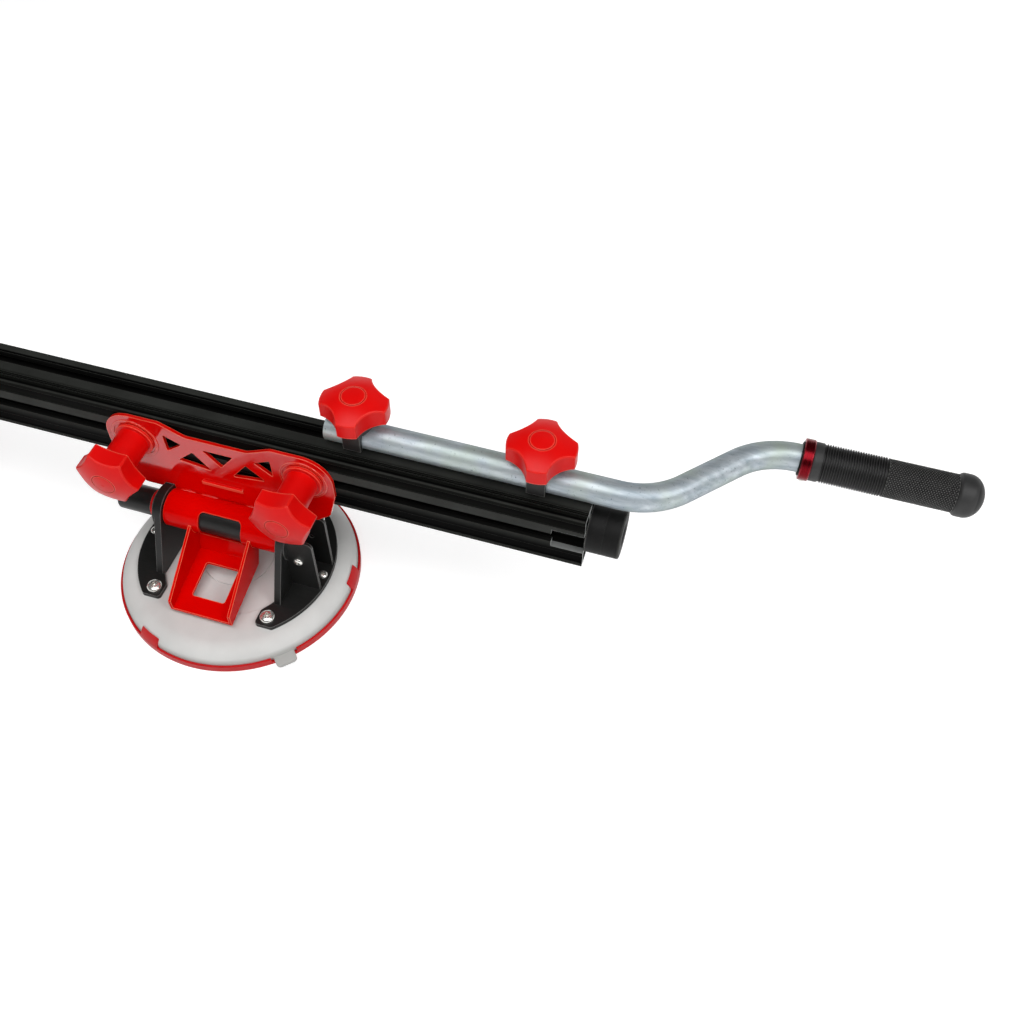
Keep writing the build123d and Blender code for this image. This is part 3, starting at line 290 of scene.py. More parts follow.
# %% Red moulded nylon
def red_nylon():
    material, tree, shader, place = new_finish("red moulded nylon")
    rounded, edge = soft_edges(tree, 1.1 * MM)
    cloud = add(tree, "TexNoise", {"Vector": place, "Scale": 1 / (14 * MM), "Detail": 3.0}).outputs["Fac"]
    grain = add(tree, "TexNoise", {"Vector": place, "Scale": 1 / (0.7 * MM), "Detail": 2.0}).outputs["Fac"]
    red = add(tree, "Mix", {0: cloud, 6: linear("#d20000"), 7: linear("#e20200")}, data_type="RGBA").outputs[2]
    # Pale edges: partly wear, partly a painted highlight.
    painted_light_mark = add(tree, "Math", {0: edge, 1: 0.8}, operation="MULTIPLY").outputs[0]
    colour = add(tree, "Mix", {0: painted_light_mark, 6: red, 7: linear("#ff6a54")}, data_type="RGBA").outputs[2]
    # Painted shade: a darker red in the cap's groove and other deep corners, found by Ambient Occlusion.
    open_sky = add(tree, "AmbientOcclusion", {"Distance": 1.5 * MM}, samples=EDGE_SAMPLES, only_local=True)
    groove_shade = add(tree, "MapRange", {"Value": open_sky.outputs["AO"], "From Min": 0.75, "From Max": 0.4}).outputs[0]
    colour = add(tree, "Mix", {0: groove_shade, 6: colour, 7: linear("#b80000")}, data_type="RGBA").outputs[2]
    satin = add(tree, "MapRange", {"Value": grain, "To Min": 0.3, "To Max": 0.42}).outputs[0]
    bump = add(tree, "Bump", {"Height": grain, "Strength": 0.18, "Distance": 0.06 * MM, "Normal": rounded})
    plug(tree, shader, {"Base Color": colour, "Roughness": satin, "Normal": bump.outputs[0],
                        "Specular IOR Level": 0.25})
    return material


dress(red_nylon(), "handle_knob", "bracket_knob")

# %% [markdown]
# ## Red powder coat
# The bracket's sheet steel parts are powder coated: a thick, glossy skin with a slight orange peel some
# millimetres wide, thin on the cut edges of the sheet, where the pale edge colour is partly wear and partly a
# painted highlight. The orange peel is a shallow bump, because it only bends reflections. The flat plate is the
# glossiest, and shows the white floor and the sleeve like a dark mirror. Sleeve and tongue reflect less, the
# tongue's folded edges get the most pale edge colour, and the coat lies thick on the welds, so one function makes
# all four from a specular level and an amount of pale edge colour, wear and painted highlight. The front of the
# strip that stands out of the plate is painted pale as a painted reflection, which a mask from the strip's place
# and a face's direction finds.

# %% Red powder coat
STRIP_PLACE = 103.5 * MM
STRIP_HALF = 2.2 * MM
STRIP_FOOT = -3.2 * MM


def red_powder_coat(name, specular, wear_and_edge_highlight):
    material, tree, shader, place = new_finish(name)
    rounded, edge = soft_edges(tree, 0.7 * MM)
    peel = add(tree, "TexNoise", {"Vector": place, "Scale": 1 / (2.2 * MM), "Detail": 2.0}).outputs["Fac"]
    cloud = add(tree, "TexNoise", {"Vector": place, "Scale": 1 / (25 * MM), "Detail": 3.0}).outputs["Fac"]
    red = add(tree, "Mix", {0: cloud, 6: linear("#cc0000"), 7: linear("#dc0301")}, data_type="RGBA").outputs[2]
    # Pale edges: partly wear, partly a painted highlight.
    thin_and_highlit = add(tree, "Math", {0: edge, 1: wear_and_edge_highlight}, operation="MULTIPLY").outputs[0]
    colour = add(tree, "Mix", {0: thin_and_highlit, 6: red, 7: linear("#ff7c5e")}, data_type="RGBA").outputs[2]
    spot = add(tree, "SeparateXYZ", {0: place})
    face = add(tree, "SeparateXYZ", {0: add(tree, "NewGeometry").outputs["True Normal"]})
    # Painted reflection: the front of the strip is painted pale.
    strip_reflection = add(tree, "Math", {0: spot.outputs["Z"], 1: STRIP_PLACE, 2: STRIP_HALF}, operation="COMPARE").outputs[0]
    proud = add(tree, "Math", {0: spot.outputs["Y"], 1: STRIP_FOOT}, operation="LESS_THAN").outputs[0]
    front = add(tree, "Math", {0: face.outputs["Y"], 1: -FACING}, operation="LESS_THAN").outputs[0]
    strip_reflection = add(tree, "Math", {0: strip_reflection, 1: proud}, operation="MULTIPLY").outputs[0]
    strip_reflection = add(tree, "Math", {0: strip_reflection, 1: front}, operation="MULTIPLY").outputs[0]
    colour = add(tree, "Mix", {0: strip_reflection, 6: colour, 7: linear("#e24a38")}, data_type="RGBA").outputs[2]
    gloss = add(tree, "MapRange", {"Value": cloud, "To Min": 0.05, "To Max": 0.1}).outputs[0]
    bump = add(tree, "Bump", {"Height": peel, "Strength": 0.06, "Distance": 0.05 * MM, "Normal": rounded})
    plug(tree, shader, {"Base Color": colour, "Roughness": gloss, "Normal": bump.outputs[0],
                        "Specular IOR Level": specular})
    return material


dress(red_powder_coat("red powder coat on tube", 0.06, 0.25), "bracket_sleeve")
dress(red_powder_coat("red powder coat on folded sheet", 0.06, 1.0), "bracket_tongue")
dress(red_powder_coat("red powder coat on flat sheet", 0.7, 0.7), "bracket_plate")
weld_coat = red_powder_coat("red powder coat on weld", 0.5, 0.1)

# %% [markdown]
# ## Red anodised ring
# The clamp ring at the grip is turned aluminium, anodised a deep wine red. It is metal under a clear dye, so it
# reflects in red, dark where nothing bright faces it, and shows turning lines round its axis. The lines are a
# noise that is stretched across the bar and fine along it.

# %% Red anodised ring
def red_anodised():
    material, tree, shader, place = new_finish("red anodised aluminium")
    rounded, edge = soft_edges(tree, 0.5 * MM)
    turned_way = add(tree, "Mapping", {"Vector": place, "Scale": (1 / (0.35 * MM), 60, 60)}).outputs[0]
    lines = add(tree, "TexNoise", {"Vector": turned_way, "Scale": 1.0, "Detail": 2.0}).outputs["Fac"]
    dye = add(tree, "Mix", {0: lines, 6: linear("#520310"), 7: linear("#840816")}, data_type="RGBA").outputs[2]
    # Pale edges: partly wear, partly a painted highlight.
    colour = add(tree, "Mix", {0: edge, 6: dye, 7: linear("#e8606a")}, data_type="RGBA").outputs[2]
    gloss = add(tree, "MapRange", {"Value": lines, "To Min": 0.2, "To Max": 0.34}).outputs[0]
    bump = add(tree, "Bump", {"Height": lines, "Strength": 0.1, "Distance": 0.03 * MM, "Normal": rounded})
    plug(tree, shader, {"Base Color": colour, "Metallic": 0.9, "Roughness": gloss, "Normal": bump.outputs[0]})
    return material


dress(red_anodised(), "grip_ring_right", "grip_ring_left")

# %% [markdown]
# ## Red cover and red line
# The cup's protective cover is a thin polypropylene moulding, duller and a little pinker than the knobs, with a
# slightly waxy skin. The warning line on the plunger is a painted band, matt and even. Both share the same
# grain, so one function makes them from two colours and a roughness.

# %% Red cover and red line
def red_plain(name, dark, light, rough):
    material, tree, shader, place = new_finish(name)
    cloud = add(tree, "TexNoise", {"Vector": place, "Scale": 1 / (8 * MM), "Detail": 3.0}).outputs["Fac"]
    grain = add(tree, "TexNoise", {"Vector": place, "Scale": 1 / (0.9 * MM), "Detail": 1.0}).outputs["Fac"]
    colour = add(tree, "Mix", {0: cloud, 6: linear(dark), 7: linear(light)}, data_type="RGBA").outputs[2]
    satin = add(tree, "MapRange", {"Value": grain, "To Min": rough - 0.06, "To Max": rough + 0.06}).outputs[0]
    bump = add(tree, "Bump", {"Height": grain, "Strength": 0.12, "Distance": 0.05 * MM})
    plug(tree, shader, {"Base Color": colour, "Roughness": satin, "Normal": bump.outputs[0],
                        "Specular IOR Level": 0.25})
    return material


dress(red_plain("red moulded polypropylene", "#b80e14", "#c9161a", 0.42), "cup_cover")
dress(red_plain("red painted band", "#c00606", "#d20c08", 0.5), "pump_red_line")

# %% [markdown]
# ## Black moulded nylon
# The legs, the pump and the saddles are glass-filled nylon, moulded black. The skin is satin, with a haze of
# glass fibres that lies in flow lines, and its edges are painted paler, partly as polish and partly as a painted
# highlight. A stretched noise stands for the fibres.

# %% Black moulded nylon
def black_nylon():
    material, tree, shader, place = new_finish("black moulded nylon")
    rounded, edge = soft_edges(tree, 0.6 * MM)
    flow = add(tree, "Mapping", {"Vector": place, "Scale": (180, 700, 700)}).outputs[0]
    fibres = add(tree, "TexNoise", {"Vector": flow, "Scale": 1.0, "Detail": 3.0}).outputs["Fac"]
    black = add(tree, "Mix", {0: fibres, 6: linear("#141414"), 7: linear("#222221")}, data_type="RGBA").outputs[2]
    # Pale edges: partly polish, partly a painted highlight.
    colour = add(tree, "Mix", {0: edge, 6: black, 7: linear("#6c6c6a")}, data_type="RGBA").outputs[2]
    satin = add(tree, "MapRange", {"Value": fibres, "To Min": 0.26, "To Max": 0.44}).outputs[0]
    bump = add(tree, "Bump", {"Height": fibres, "Strength": 0.1, "Distance": 0.05 * MM, "Normal": rounded})
    plug(tree, shader, {"Base Color": colour, "Roughness": satin, "Normal": bump.outputs[0],
                        "Specular IOR Level": 0.28})
    return material


dress(black_nylon(), "cup_leg", "pump_barrel", "pump_plunger", "handle_saddles")

# %% [markdown]
# ## Bright steel
# Screws, studs and nuts are steel with a bright plating. Cold forming leaves them smooth, with a faint frost
# that a fine noise gives to the roughness, and a hint of yellow in the plating's shade.

# %% Bright steel
def bright_steel():
    material, tree, shader, place = new_finish("bright plated steel")
    frost = add(tree, "TexNoise", {"Vector": place, "Scale": 1 / (1.5 * MM), "Detail": 3.0}).outputs["Fac"]
    colour = add(tree, "Mix", {0: frost, 6: linear("#dcdbd6"), 7: linear("#f2f1ec")}, data_type="RGBA").outputs[2]
    gloss = add(tree, "MapRange", {"Value": frost, "To Min": 0.16, "To Max": 0.32}).outputs[0]
    bump = add(tree, "Bump", {"Height": frost, "Strength": 0.08, "Distance": 0.03 * MM})
    plug(tree, shader, {"Base Color": colour, "Metallic": 0.85, "Roughness": gloss, "Normal": bump.outputs[0]})
    return material


steel = bright_steel()
dress(steel, "cup_screws", "buffer_screws", "grip_ring_screw", "handle_stud", "bracket_stud", "handle_nuts",
      "bracket_nuts")

# %% [markdown]
# ## Rubbers
# Grips, buffers and seals are black rubber: a deep matt black that a bloom of wax turns a little grey in
# patches. The buffers' rims are painted grey, partly as scuffs from knocks and partly as a painted rim highlight.
# On the grips the ribs and diamonds that stand proud are coloured paler than the grooves, the diamonds most,
# which the distance from the handle's axis tells apart. The cup's pad is a pale grey rubber, moulded smooth,
# with faint flow clouds and the dust that it gathers, and its outer rim and tab are darker, which the distance
# from the cup's axis gives. Rubber reflects weakly, so all have a low specular level, and their roughness is
# high. The handle's axis is given in metres, as Y and Z, and the other lengths in millimetres.

# %% Rubbers
GRIP_AXIS = (0.103025, 0.1788)
KNURL_START = 55.2
KNURL_END = 106.8
CLEAN_RADIUS = 14.55
DUSTY_RADIUS = 15.05
CUP_X = 195.5
CUP_Y = -13.775
PAD_RADIUS = 103.7


def black_rubber(name, wear_and_edge_highlight):
    material, tree, shader, place = new_finish(name)
    edge = soft_edges(tree, 1.5 * MM)[1]
    bloom = add(tree, "TexNoise", {"Vector": place, "Scale": 1 / (18 * MM), "Detail": 5.0}).outputs["Fac"]
    grain = add(tree, "TexNoise", {"Vector": place, "Scale": 1 / (0.8 * MM), "Detail": 2.0}).outputs["Fac"]
    black = add(tree, "Mix", {0: bloom, 6: linear("#060606"), 7: linear("#0e0e0e")}, data_type="RGBA").outputs[2]
    # Pale rims: partly scuffs, partly a painted rim highlight.
    scuff_and_highlight = add(tree, "Math", {0: edge, 1: wear_and_edge_highlight}, operation="MULTIPLY").outputs[0]
    colour = add(tree, "Mix", {0: scuff_and_highlight, 6: black, 7: linear("#6e6e6b")}, data_type="RGBA").outputs[2]
    matt = add(tree, "MapRange", {"Value": grain, "To Min": 0.5, "To Max": 0.68}).outputs[0]
    bump = add(tree, "Bump", {"Height": grain, "Strength": 0.2, "Distance": 0.06 * MM})
    plug(tree, shader, {"Base Color": colour, "Roughness": matt, "Normal": bump.outputs[0],
                        "Specular IOR Level": 0.2})
    return material


def grey_rubber():
    material, tree, shader, place = new_finish("grey moulded rubber")
    cloud = add(tree, "TexNoise", {"Vector": place, "Scale": 1 / (40 * MM), "Detail": 4.0}).outputs["Fac"]
    grain = add(tree, "TexNoise", {"Vector": place, "Scale": 1 / (1.1 * MM), "Detail": 2.0}).outputs["Fac"]
    dust = add(tree, "MapRange", {"Value": cloud, "From Min": 0.35, "From Max": 0.65}).outputs[0]
    clean = add(tree, "Mix", {0: dust, 6: linear("#cdcdcb"), 7: linear("#d7d7d5")}, data_type="RGBA").outputs[2]
    spot = add(tree, "SeparateXYZ", {0: place})
    out = add(tree, "Math", {0: spot.outputs["X"]}, operation="ABSOLUTE").outputs[0]
    both = add(tree, "CombineXYZ", {"X": out, "Y": spot.outputs["Y"]}).outputs[0]
    axis = (CUP_X * MM, CUP_Y * MM, 0)
    radius = add(tree, "VectorMath", {0: both, 1: axis}, operation="DISTANCE").outputs["Value"]
    # The outer rim and the tab are coloured darker.
    darker_rim_and_tab = add(tree, "MapRange", {"Value": radius, "From Min": (PAD_RADIUS - 1.5) * MM,
                                     "From Max": (PAD_RADIUS + 0.5) * MM}).outputs[0]
    colour = add(tree, "Mix", {0: darker_rim_and_tab, 6: clean, 7: linear("#b2b2af")}, data_type="RGBA").outputs[2]
    matt = add(tree, "MapRange", {"Value": grain, "To Min": 0.55, "To Max": 0.7}).outputs[0]
    bump = add(tree, "Bump", {"Height": grain, "Strength": 0.1, "Distance": 0.05 * MM})
    plug(tree, shader, {"Base Color": colour, "Roughness": matt, "Normal": bump.outputs[0],
                        "Specular IOR Level": 0.3})
    return material


def ribbed_rubber():
    material, tree, shader, place = new_finish("black ribbed rubber")
    axis = add(tree, "Mapping", {"Vector": place, "Location": (0, -GRIP_AXIS[0], -GRIP_AXIS[1]), "Scale": (0, 1, 1)})
    radius = add(tree, "VectorMath", {0: axis.outputs[0]}, operation="LENGTH").outputs["Value"]
    proud = add(tree, "MapRange", {"Value": radius, "From Min": CLEAN_RADIUS * MM, "From Max": DUSTY_RADIUS * MM})
    bloom = add(tree, "TexNoise", {"Vector": place, "Scale": 1 / (18 * MM), "Detail": 5.0}).outputs["Fac"]
    grain = add(tree, "TexNoise", {"Vector": place, "Scale": 1 / (0.8 * MM), "Detail": 2.0}).outputs["Fac"]
    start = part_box("grip_right")[0][0]
    middle = start + (KNURL_START + KNURL_END) / 2 * MM
    half = (KNURL_END - KNURL_START) / 2 * MM
    spot = add(tree, "SeparateXYZ", {0: place}).outputs["X"]
    out = add(tree, "Math", {0: spot}, operation="ABSOLUTE").outputs[0]
    knurled = add(tree, "Math", {0: out, 1: middle, 2: half}, operation="COMPARE").outputs[0]
    # Proud ribs and diamonds are coloured paler than the grooves, the diamonds most.
    rib = add(tree, "Mix", {0: bloom, 6: linear("#1c1c1c"), 7: linear("#383838")}, data_type="RGBA").outputs[2]
    diamond = add(tree, "Mix", {0: bloom, 6: linear("#6a6a68"), 7: linear("#8e8e8c")}, data_type="RGBA").outputs[2]
    top = add(tree, "Mix", {0: knurled, 6: rib, 7: diamond}, data_type="RGBA").outputs[2]
    colour = add(tree, "Mix", {0: proud.outputs[0], 6: linear("#060606"), 7: top}, data_type="RGBA").outputs[2]
    matt = add(tree, "MapRange", {"Value": grain, "To Min": 0.42, "To Max": 0.6}).outputs[0]
    bump = add(tree, "Bump", {"Height": grain, "Strength": 0.2, "Distance": 0.06 * MM})
    plug(tree, shader, {"Base Color": colour, "Roughness": matt, "Normal": bump.outputs[0],
                        "Specular IOR Level": 0.4})
    return material


rubber = black_rubber("black moulded rubber", 0.0)
buffer_rubber = black_rubber("black moulded rubber with scuffed and highlit rims", 0.9)
grip_rubber = ribbed_rubber()
pale_rubber = grey_rubber()
dress(rubber, "grip_right", "grip_left", "buffer_right", "buffer_left", "pump_seal")
dress(pale_rubber, "cup_pad")

# %% [markdown]
# ## Turned shapes
# Grips, buffers, pads and screw heads are all round, so each starts as a chain of points, a half section, that
# is spun once round its axis. A chain is grown by extruding its last vertex, the spin merges its seam, points
# on the axis are merged to a pole, and the normals are recalculated after that. Grips, rings and buffers at the
# bar's two ends mirror each other, so such a shape is made for the right end, and mirrored for the left one
# when it is set down. One more function makes a bmesh an object that rides on its body and stands for a CAD
# node. The sizes of shapes, here and below, are in millimetres.

# %% Turned shapes
ENDS = (("right", 1), ("left", -1))
ROUND_STEPS = 96
SHARP_ANGLE = 38
SAME_POINT = 0.002
UPRIGHT = Matrix.Rotation(radians(-90), 3, "Y")


def quarter(steps):
    """The sine and cosine of angles that go in even steps from nought to a right angle."""
    angles = [pi / 2 * step / steps for step in range(steps + 1)]
    return [(sin(angle), cos(angle)) for angle in angles]


def turned(section, steps):
    """A shape spun round X from its half section, a list of (x, radius) in millimetres."""
    shape = bmesh.new()
    x, radius = section[0]
    tip = bmesh.ops.create_vert(shape, co=(x * MM, 0, radius * MM))["vert"][0]
    for x, radius in section[1:]:
        tip = bmesh.ops.extrude_vert_indiv(shape, verts=[tip])["verts"][0]
        tip.co = (x * MM, 0, radius * MM)
    bmesh.ops.spin(shape, geom=shape.verts[:] + shape.edges[:], axis=(1, 0, 0), cent=(0, 0, 0),
                   angle=2 * pi, steps=steps, use_merge=True)
    bmesh.ops.remove_doubles(shape, verts=shape.verts, dist=SAME_POINT * MM)
    bmesh.ops.recalc_face_normals(shape, faces=shape.faces)
    return shape


def set_down(shape, way, x, y, z):
    """Mirrors a shape for the left end, where the way is minus one, and moves it to its place in metres."""
    bmesh.ops.scale(shape, verts=shape.verts, vec=(way, 1, 1))
    bmesh.ops.translate(shape, verts=shape.verts, vec=(x, y, z))
    bmesh.ops.recalc_face_normals(shape, faces=shape.faces)


def keep(name, shape, finish, body, slot, *stands_for):
    """Makes a bmesh an object with a finish, which rides on a body and may stand for CAD nodes."""
    mesh = bpy.data.meshes.new(name)
    shape.to_mesh(mesh)
    shape.free()
    mesh.polygons.foreach_set("use_smooth", [True] * len(mesh.polygons))
    mesh.set_sharp_from_angle(angle=radians(SHARP_ANGLE))
    mesh.materials.append(finish)
    piece = bpy.data.objects.new(name, mesh)
    bpy.context.scene.collection.objects.link(piece)
    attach(piece, body)
    if stands_for:
        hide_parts(*stands_for)
    print(name, "faces:", len(mesh.polygons))


# %% [markdown]
# ## Grips
# Each grip is a moulded rubber sleeve: a flange against the ring, a half with fine ribs round it, a neck, a
# half with a diamond knurl, and a bulging domed end. The ribs are in the half section itself. The knurl crosses
# two sets of helical grooves, which no spin gives, so that stretch is spun with many rings and its vertices
# then sink towards the axis where a groove runs. The ribs are about as coarse as they look in the photograph. A
# rib's points are given as shares of the pitch, with their depth.

# %% Grips
GRIP_BORE = 11.1
BORE_END = 120.1
RIB_START = 8.2
RIB_END = 54.0
RIB_COUNT = 24
RIB_DEPTH = 1.2
RIB_RADIUS = 15.2
RIB_PROFILE = ((0.3, RIB_DEPTH), (0.44, 0), (0.62, 0), (0.76, RIB_DEPTH))
NECK = 0.4
FLANGE = ((0, 14.6), (0.2, 15.05), (0.6, 15.25), (6.4, 15.25), (6.8, 15.05), (7.0, 14.6), (7.1, 14.3),
          (RIB_START, 14.3))
KNURL_RINGS = 104
KNURL_ROUND = 30
KNURL_LEAD = 60.0
KNURL_DEPTH = 0.9
KNURL_RADIUS = 15.0
KNURL_INSIDE = 14.0
KNURL_MARGIN = 0.3
GROOVE_WIDTH = 0.85
GRIP_STEPS = 180
BULGE_RADIUS = 16.75
BULGE = ((107.0, 14.6), (107.5, 15.0), (108.1, 15.9), (109.0, 16.5), (110.2, BULGE_RADIUS))
DOME_START = 115.0
DOME_LENGTH = 13.0
DOME_STEPS = 12


def grip_section():
    """The grip's half section in millimetres, from the bottom of its bore to the tip of its dome."""
    section = [(BORE_END, 0), (BORE_END, GRIP_BORE), (0, GRIP_BORE), *FLANGE]
    pitch = (RIB_END - RIB_START) / RIB_COUNT
    for rib in range(RIB_COUNT):
        start = RIB_START + rib * pitch
        section += [(start + part * pitch, RIB_RADIUS - depth) for part, depth in RIB_PROFILE]
    section.append((KNURL_START - NECK, RIB_RADIUS - RIB_DEPTH))
    for ring in range(KNURL_RINGS + 1):
        section.append((KNURL_START + (KNURL_END - KNURL_START) * ring / KNURL_RINGS, KNURL_RADIUS))
    section += BULGE
    section += [(DOME_START + DOME_LENGTH * rise, BULGE_RADIUS * run) for rise, run in quarter(DOME_STEPS)]
    return section


def knurl_depth(along, angle):
    """How far the knurl's two sets of grooves sink the rubber, from nought on a diamond to one in a groove."""
    depth = 0
    for hand in (1, -1):
        phase = (angle / (2 * pi) + hand * along / (KNURL_LEAD * MM)) * KNURL_ROUND
        away = abs(phase - round(phase)) * 2
        depth = max(depth, 1 - away / GROOVE_WIDTH)
    return max(depth, 0)


for side, way in ENDS:
    low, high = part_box("grip_" + side)
    shape = turned(grip_section(), GRIP_STEPS)
    for vertex in shape.verts:
        x, y, z = vertex.co
        knurled = (KNURL_START + KNURL_MARGIN) * MM < x < (KNURL_END - KNURL_MARGIN) * MM
        if knurled and hypot(y, z) > KNURL_INSIDE * MM:
            sink = 1 - KNURL_DEPTH / KNURL_RADIUS * knurl_depth(x, atan2(y, z))
            vertex.co = (x, y * sink, z * sink)
    start = low[0] if way > 0 else high[0]
    set_down(shape, way, start, (low[1] + high[1]) / 2, (low[2] + high[2]) / 2)
    keep("rubber_grip_" + side, shape, grip_rubber, "handle_" + side, "black_rubber", "grip_" + side)

# %% [markdown]
# ## Ring liners
# A soft black liner sits between the tube and the red ring and shows as a narrow lip on the side of the bend.
# It is a thin ring with a rounded lip, spun from its section like the grip, and it ends where the ring's face
# begins.

# %% Ring liners
LINER_LIP = 1.2
LINER_RADIUS = 13.4
LINER_SECTION = ((0, GRIP_BORE), (0, LINER_RADIUS), (-LINER_LIP + 0.6, LINER_RADIUS),
                 (-LINER_LIP + 0.15, LINER_RADIUS - 0.3), (-LINER_LIP, LINER_RADIUS - 0.9),
                 (-LINER_LIP, GRIP_BORE + 0.3), (-LINER_LIP + 0.3, GRIP_BORE), (0, GRIP_BORE))

for side, way in ENDS:
    low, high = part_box("grip_ring_" + side)
    shape = turned(LINER_SECTION, ROUND_STEPS)
    start = low[0] if way > 0 else high[0]
    set_down(shape, way, start, *GRIP_AXIS)
    keep("ring_liner_" + side, shape, rubber, "handle_" + side, "black_rubber")

# %% [markdown]
# ## End buffers
# A thick rubber tube closes each end of the rail. Its rim is rounded by the mould, its bore is deep, with the
# head of the holding screw at the bottom, and a thin flash line runs round the middle where the mould's halves
# met.

# %% End buffers
BUFFER_RADIUS = 19.5
BUFFER_LENGTH = 27.0
BUFFER_BORE = 8.5
BUFFER_FLOOR = 5.0
BUFFER_SCREW_HOLE = 3.2
BUFFER_ROUND = 1.2
BUFFER_ROUND_STEPS = 4
FLASH_HALF = 0.35
FLASH_DEPTH = 0.15


def buffer_section():
    """The buffer's closed half section in millimetres, from the foot of its screw hole round to the same point."""
    section = [(0, BUFFER_SCREW_HOLE), (0, BUFFER_RADIUS - 0.4), (0.4, BUFFER_RADIUS)]
    middle = BUFFER_LENGTH / 2
    section += [(middle - FLASH_HALF, BUFFER_RADIUS), (middle, BUFFER_RADIUS - FLASH_DEPTH),
                (middle + FLASH_HALF, BUFFER_RADIUS)]
    section += [(BUFFER_LENGTH - BUFFER_ROUND * (1 - rise), BUFFER_RADIUS - BUFFER_ROUND * (1 - run))
                for rise, run in quarter(BUFFER_ROUND_STEPS)]
    section += [(BUFFER_LENGTH - BUFFER_ROUND * (1 - run), BUFFER_BORE + BUFFER_ROUND * (1 - rise))
                for rise, run in quarter(BUFFER_ROUND_STEPS)]
    section += [(BUFFER_FLOOR + 0.5, BUFFER_BORE), (BUFFER_FLOOR, BUFFER_BORE - 0.5),
                (BUFFER_FLOOR, BUFFER_SCREW_HOLE), (0, BUFFER_SCREW_HOLE)]
    return section


for side, way in ENDS:
    low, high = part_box("buffer_" + side)
    shape = turned(buffer_section(), ROUND_STEPS)
    start = low[0] if way > 0 else high[0]
    set_down(shape, way, start, (low[1] + high[1]) / 2, (low[2] + high[2]) / 2)
    keep("rubber_buffer_" + side, shape, buffer_rubber, "rail", "black_rubber", "buffer_" + side)

# %% [markdown]
# ## Cup pads
# The pad is a shallow rubber dish upside down: a thin sealing lip, a rounded shoulder and a flat top with a
# shallow dish in it and a fine ring round the port that the pump sucks through. The section is spun about X
# like the other round parts and then turned upright. The release tab, which a finger lifts, is a small block
# with rounded edges that grows out of the lip.

# %% Cup pads
PAD_FLAT = 87.5
PAD_TOP = 20.5
PAD_FLOOR = 2.2
LIP_TOP = 7.2
LIP_INSIDE = 94.7
UNDERSIDE = 5.6
DISH_RADIUS = 62.0
DISH_FLOOR = 19.7
PORT_RADIUS = 31.0
SHOULDER_STEPS = 14
PAD_STEPS = 160
TAB_ANGLE = -45
TAB_WIDTH = 18.0
TAB_REACH = 113.7
TAB_ROOT = 3.0
TAB_TOP = 5.4
TAB_CORNER = 4.0
TAB_RIM = 0.5


def pad_section():
    """The pad's closed half section in millimetres, as (height, radius), from under its middle to its top."""
    section = [(UNDERSIDE, 0), (UNDERSIDE, LIP_INSIDE - 1), (UNDERSIDE - 1, LIP_INSIDE),
               (PAD_FLOOR, LIP_INSIDE + 1), (PAD_FLOOR, PAD_RADIUS - 0.7), (PAD_FLOOR + 0.2, PAD_RADIUS - 0.2),
               (PAD_FLOOR + 0.7, PAD_RADIUS), (LIP_TOP - 0.5, PAD_RADIUS)]
    section += [(LIP_TOP + (PAD_TOP - LIP_TOP) * rise, PAD_FLAT + (PAD_RADIUS - PAD_FLAT) * run)
                for rise, run in quarter(SHOULDER_STEPS)]
    section += [(PAD_TOP, DISH_RADIUS + 0.9), (PAD_TOP - 0.15, DISH_RADIUS + 0.3),
                (DISH_FLOOR + 0.15, DISH_RADIUS - 0.3), (DISH_FLOOR, DISH_RADIUS - 0.9),
                (DISH_FLOOR, PORT_RADIUS + 0.6), (DISH_FLOOR - 0.45, PORT_RADIUS + 0.3),
                (DISH_FLOOR - 0.45, PORT_RADIUS), (DISH_FLOOR + 0.5, PORT_RADIUS - 0.3),
                (DISH_FLOOR + 0.6, PORT_RADIUS - 0.8), (DISH_FLOOR + 0.6, 0)]
    return section


def release_tab():
    """The release tab as a block with rounded upright edges, at the angle it has on the pad."""
    tab = bmesh.new()
    inside = PAD_RADIUS - TAB_ROOT
    bmesh.ops.create_cube(tab, size=1)
    size = ((TAB_REACH - inside) * MM, TAB_WIDTH * MM, (TAB_TOP - PAD_FLOOR) * MM)
    bmesh.ops.scale(tab, verts=tab.verts, vec=size)
    middle = Vector(((TAB_REACH + inside) / 2, 0, (TAB_TOP + PAD_FLOOR) / 2)) * MM
    bmesh.ops.translate(tab, verts=tab.verts, vec=middle)
    outer = [edge for edge in tab.edges if all(v.co.x > PAD_RADIUS * MM for v in edge.verts)]
    upright = [edge for edge in outer if abs(edge.verts[0].co.z - edge.verts[1].co.z) > MM]
    bmesh.ops.bevel(tab, geom=upright, offset=TAB_CORNER * MM, segments=6, profile=0.5, affect="EDGES",
                    material=-1)
    rims = [edge for edge in tab.edges if abs(edge.verts[0].co.z - edge.verts[1].co.z) < 0.1 * MM]
    bmesh.ops.bevel(tab, geom=rims, offset=TAB_RIM * MM, segments=2, profile=0.5, affect="EDGES", material=-1)
    bmesh.ops.rotate(tab, verts=tab.verts, cent=(0, 0, 0), matrix=Matrix.Rotation(radians(TAB_ANGLE), 3, "Z"))
    return tab


def join(shape, other):
    """Adds the faces of another bmesh to a shape, and frees the other."""
    passing = bpy.data.meshes.new("passing")
    other.to_mesh(passing)
    other.free()
    shape.from_mesh(passing)
    bpy.data.meshes.remove(passing)


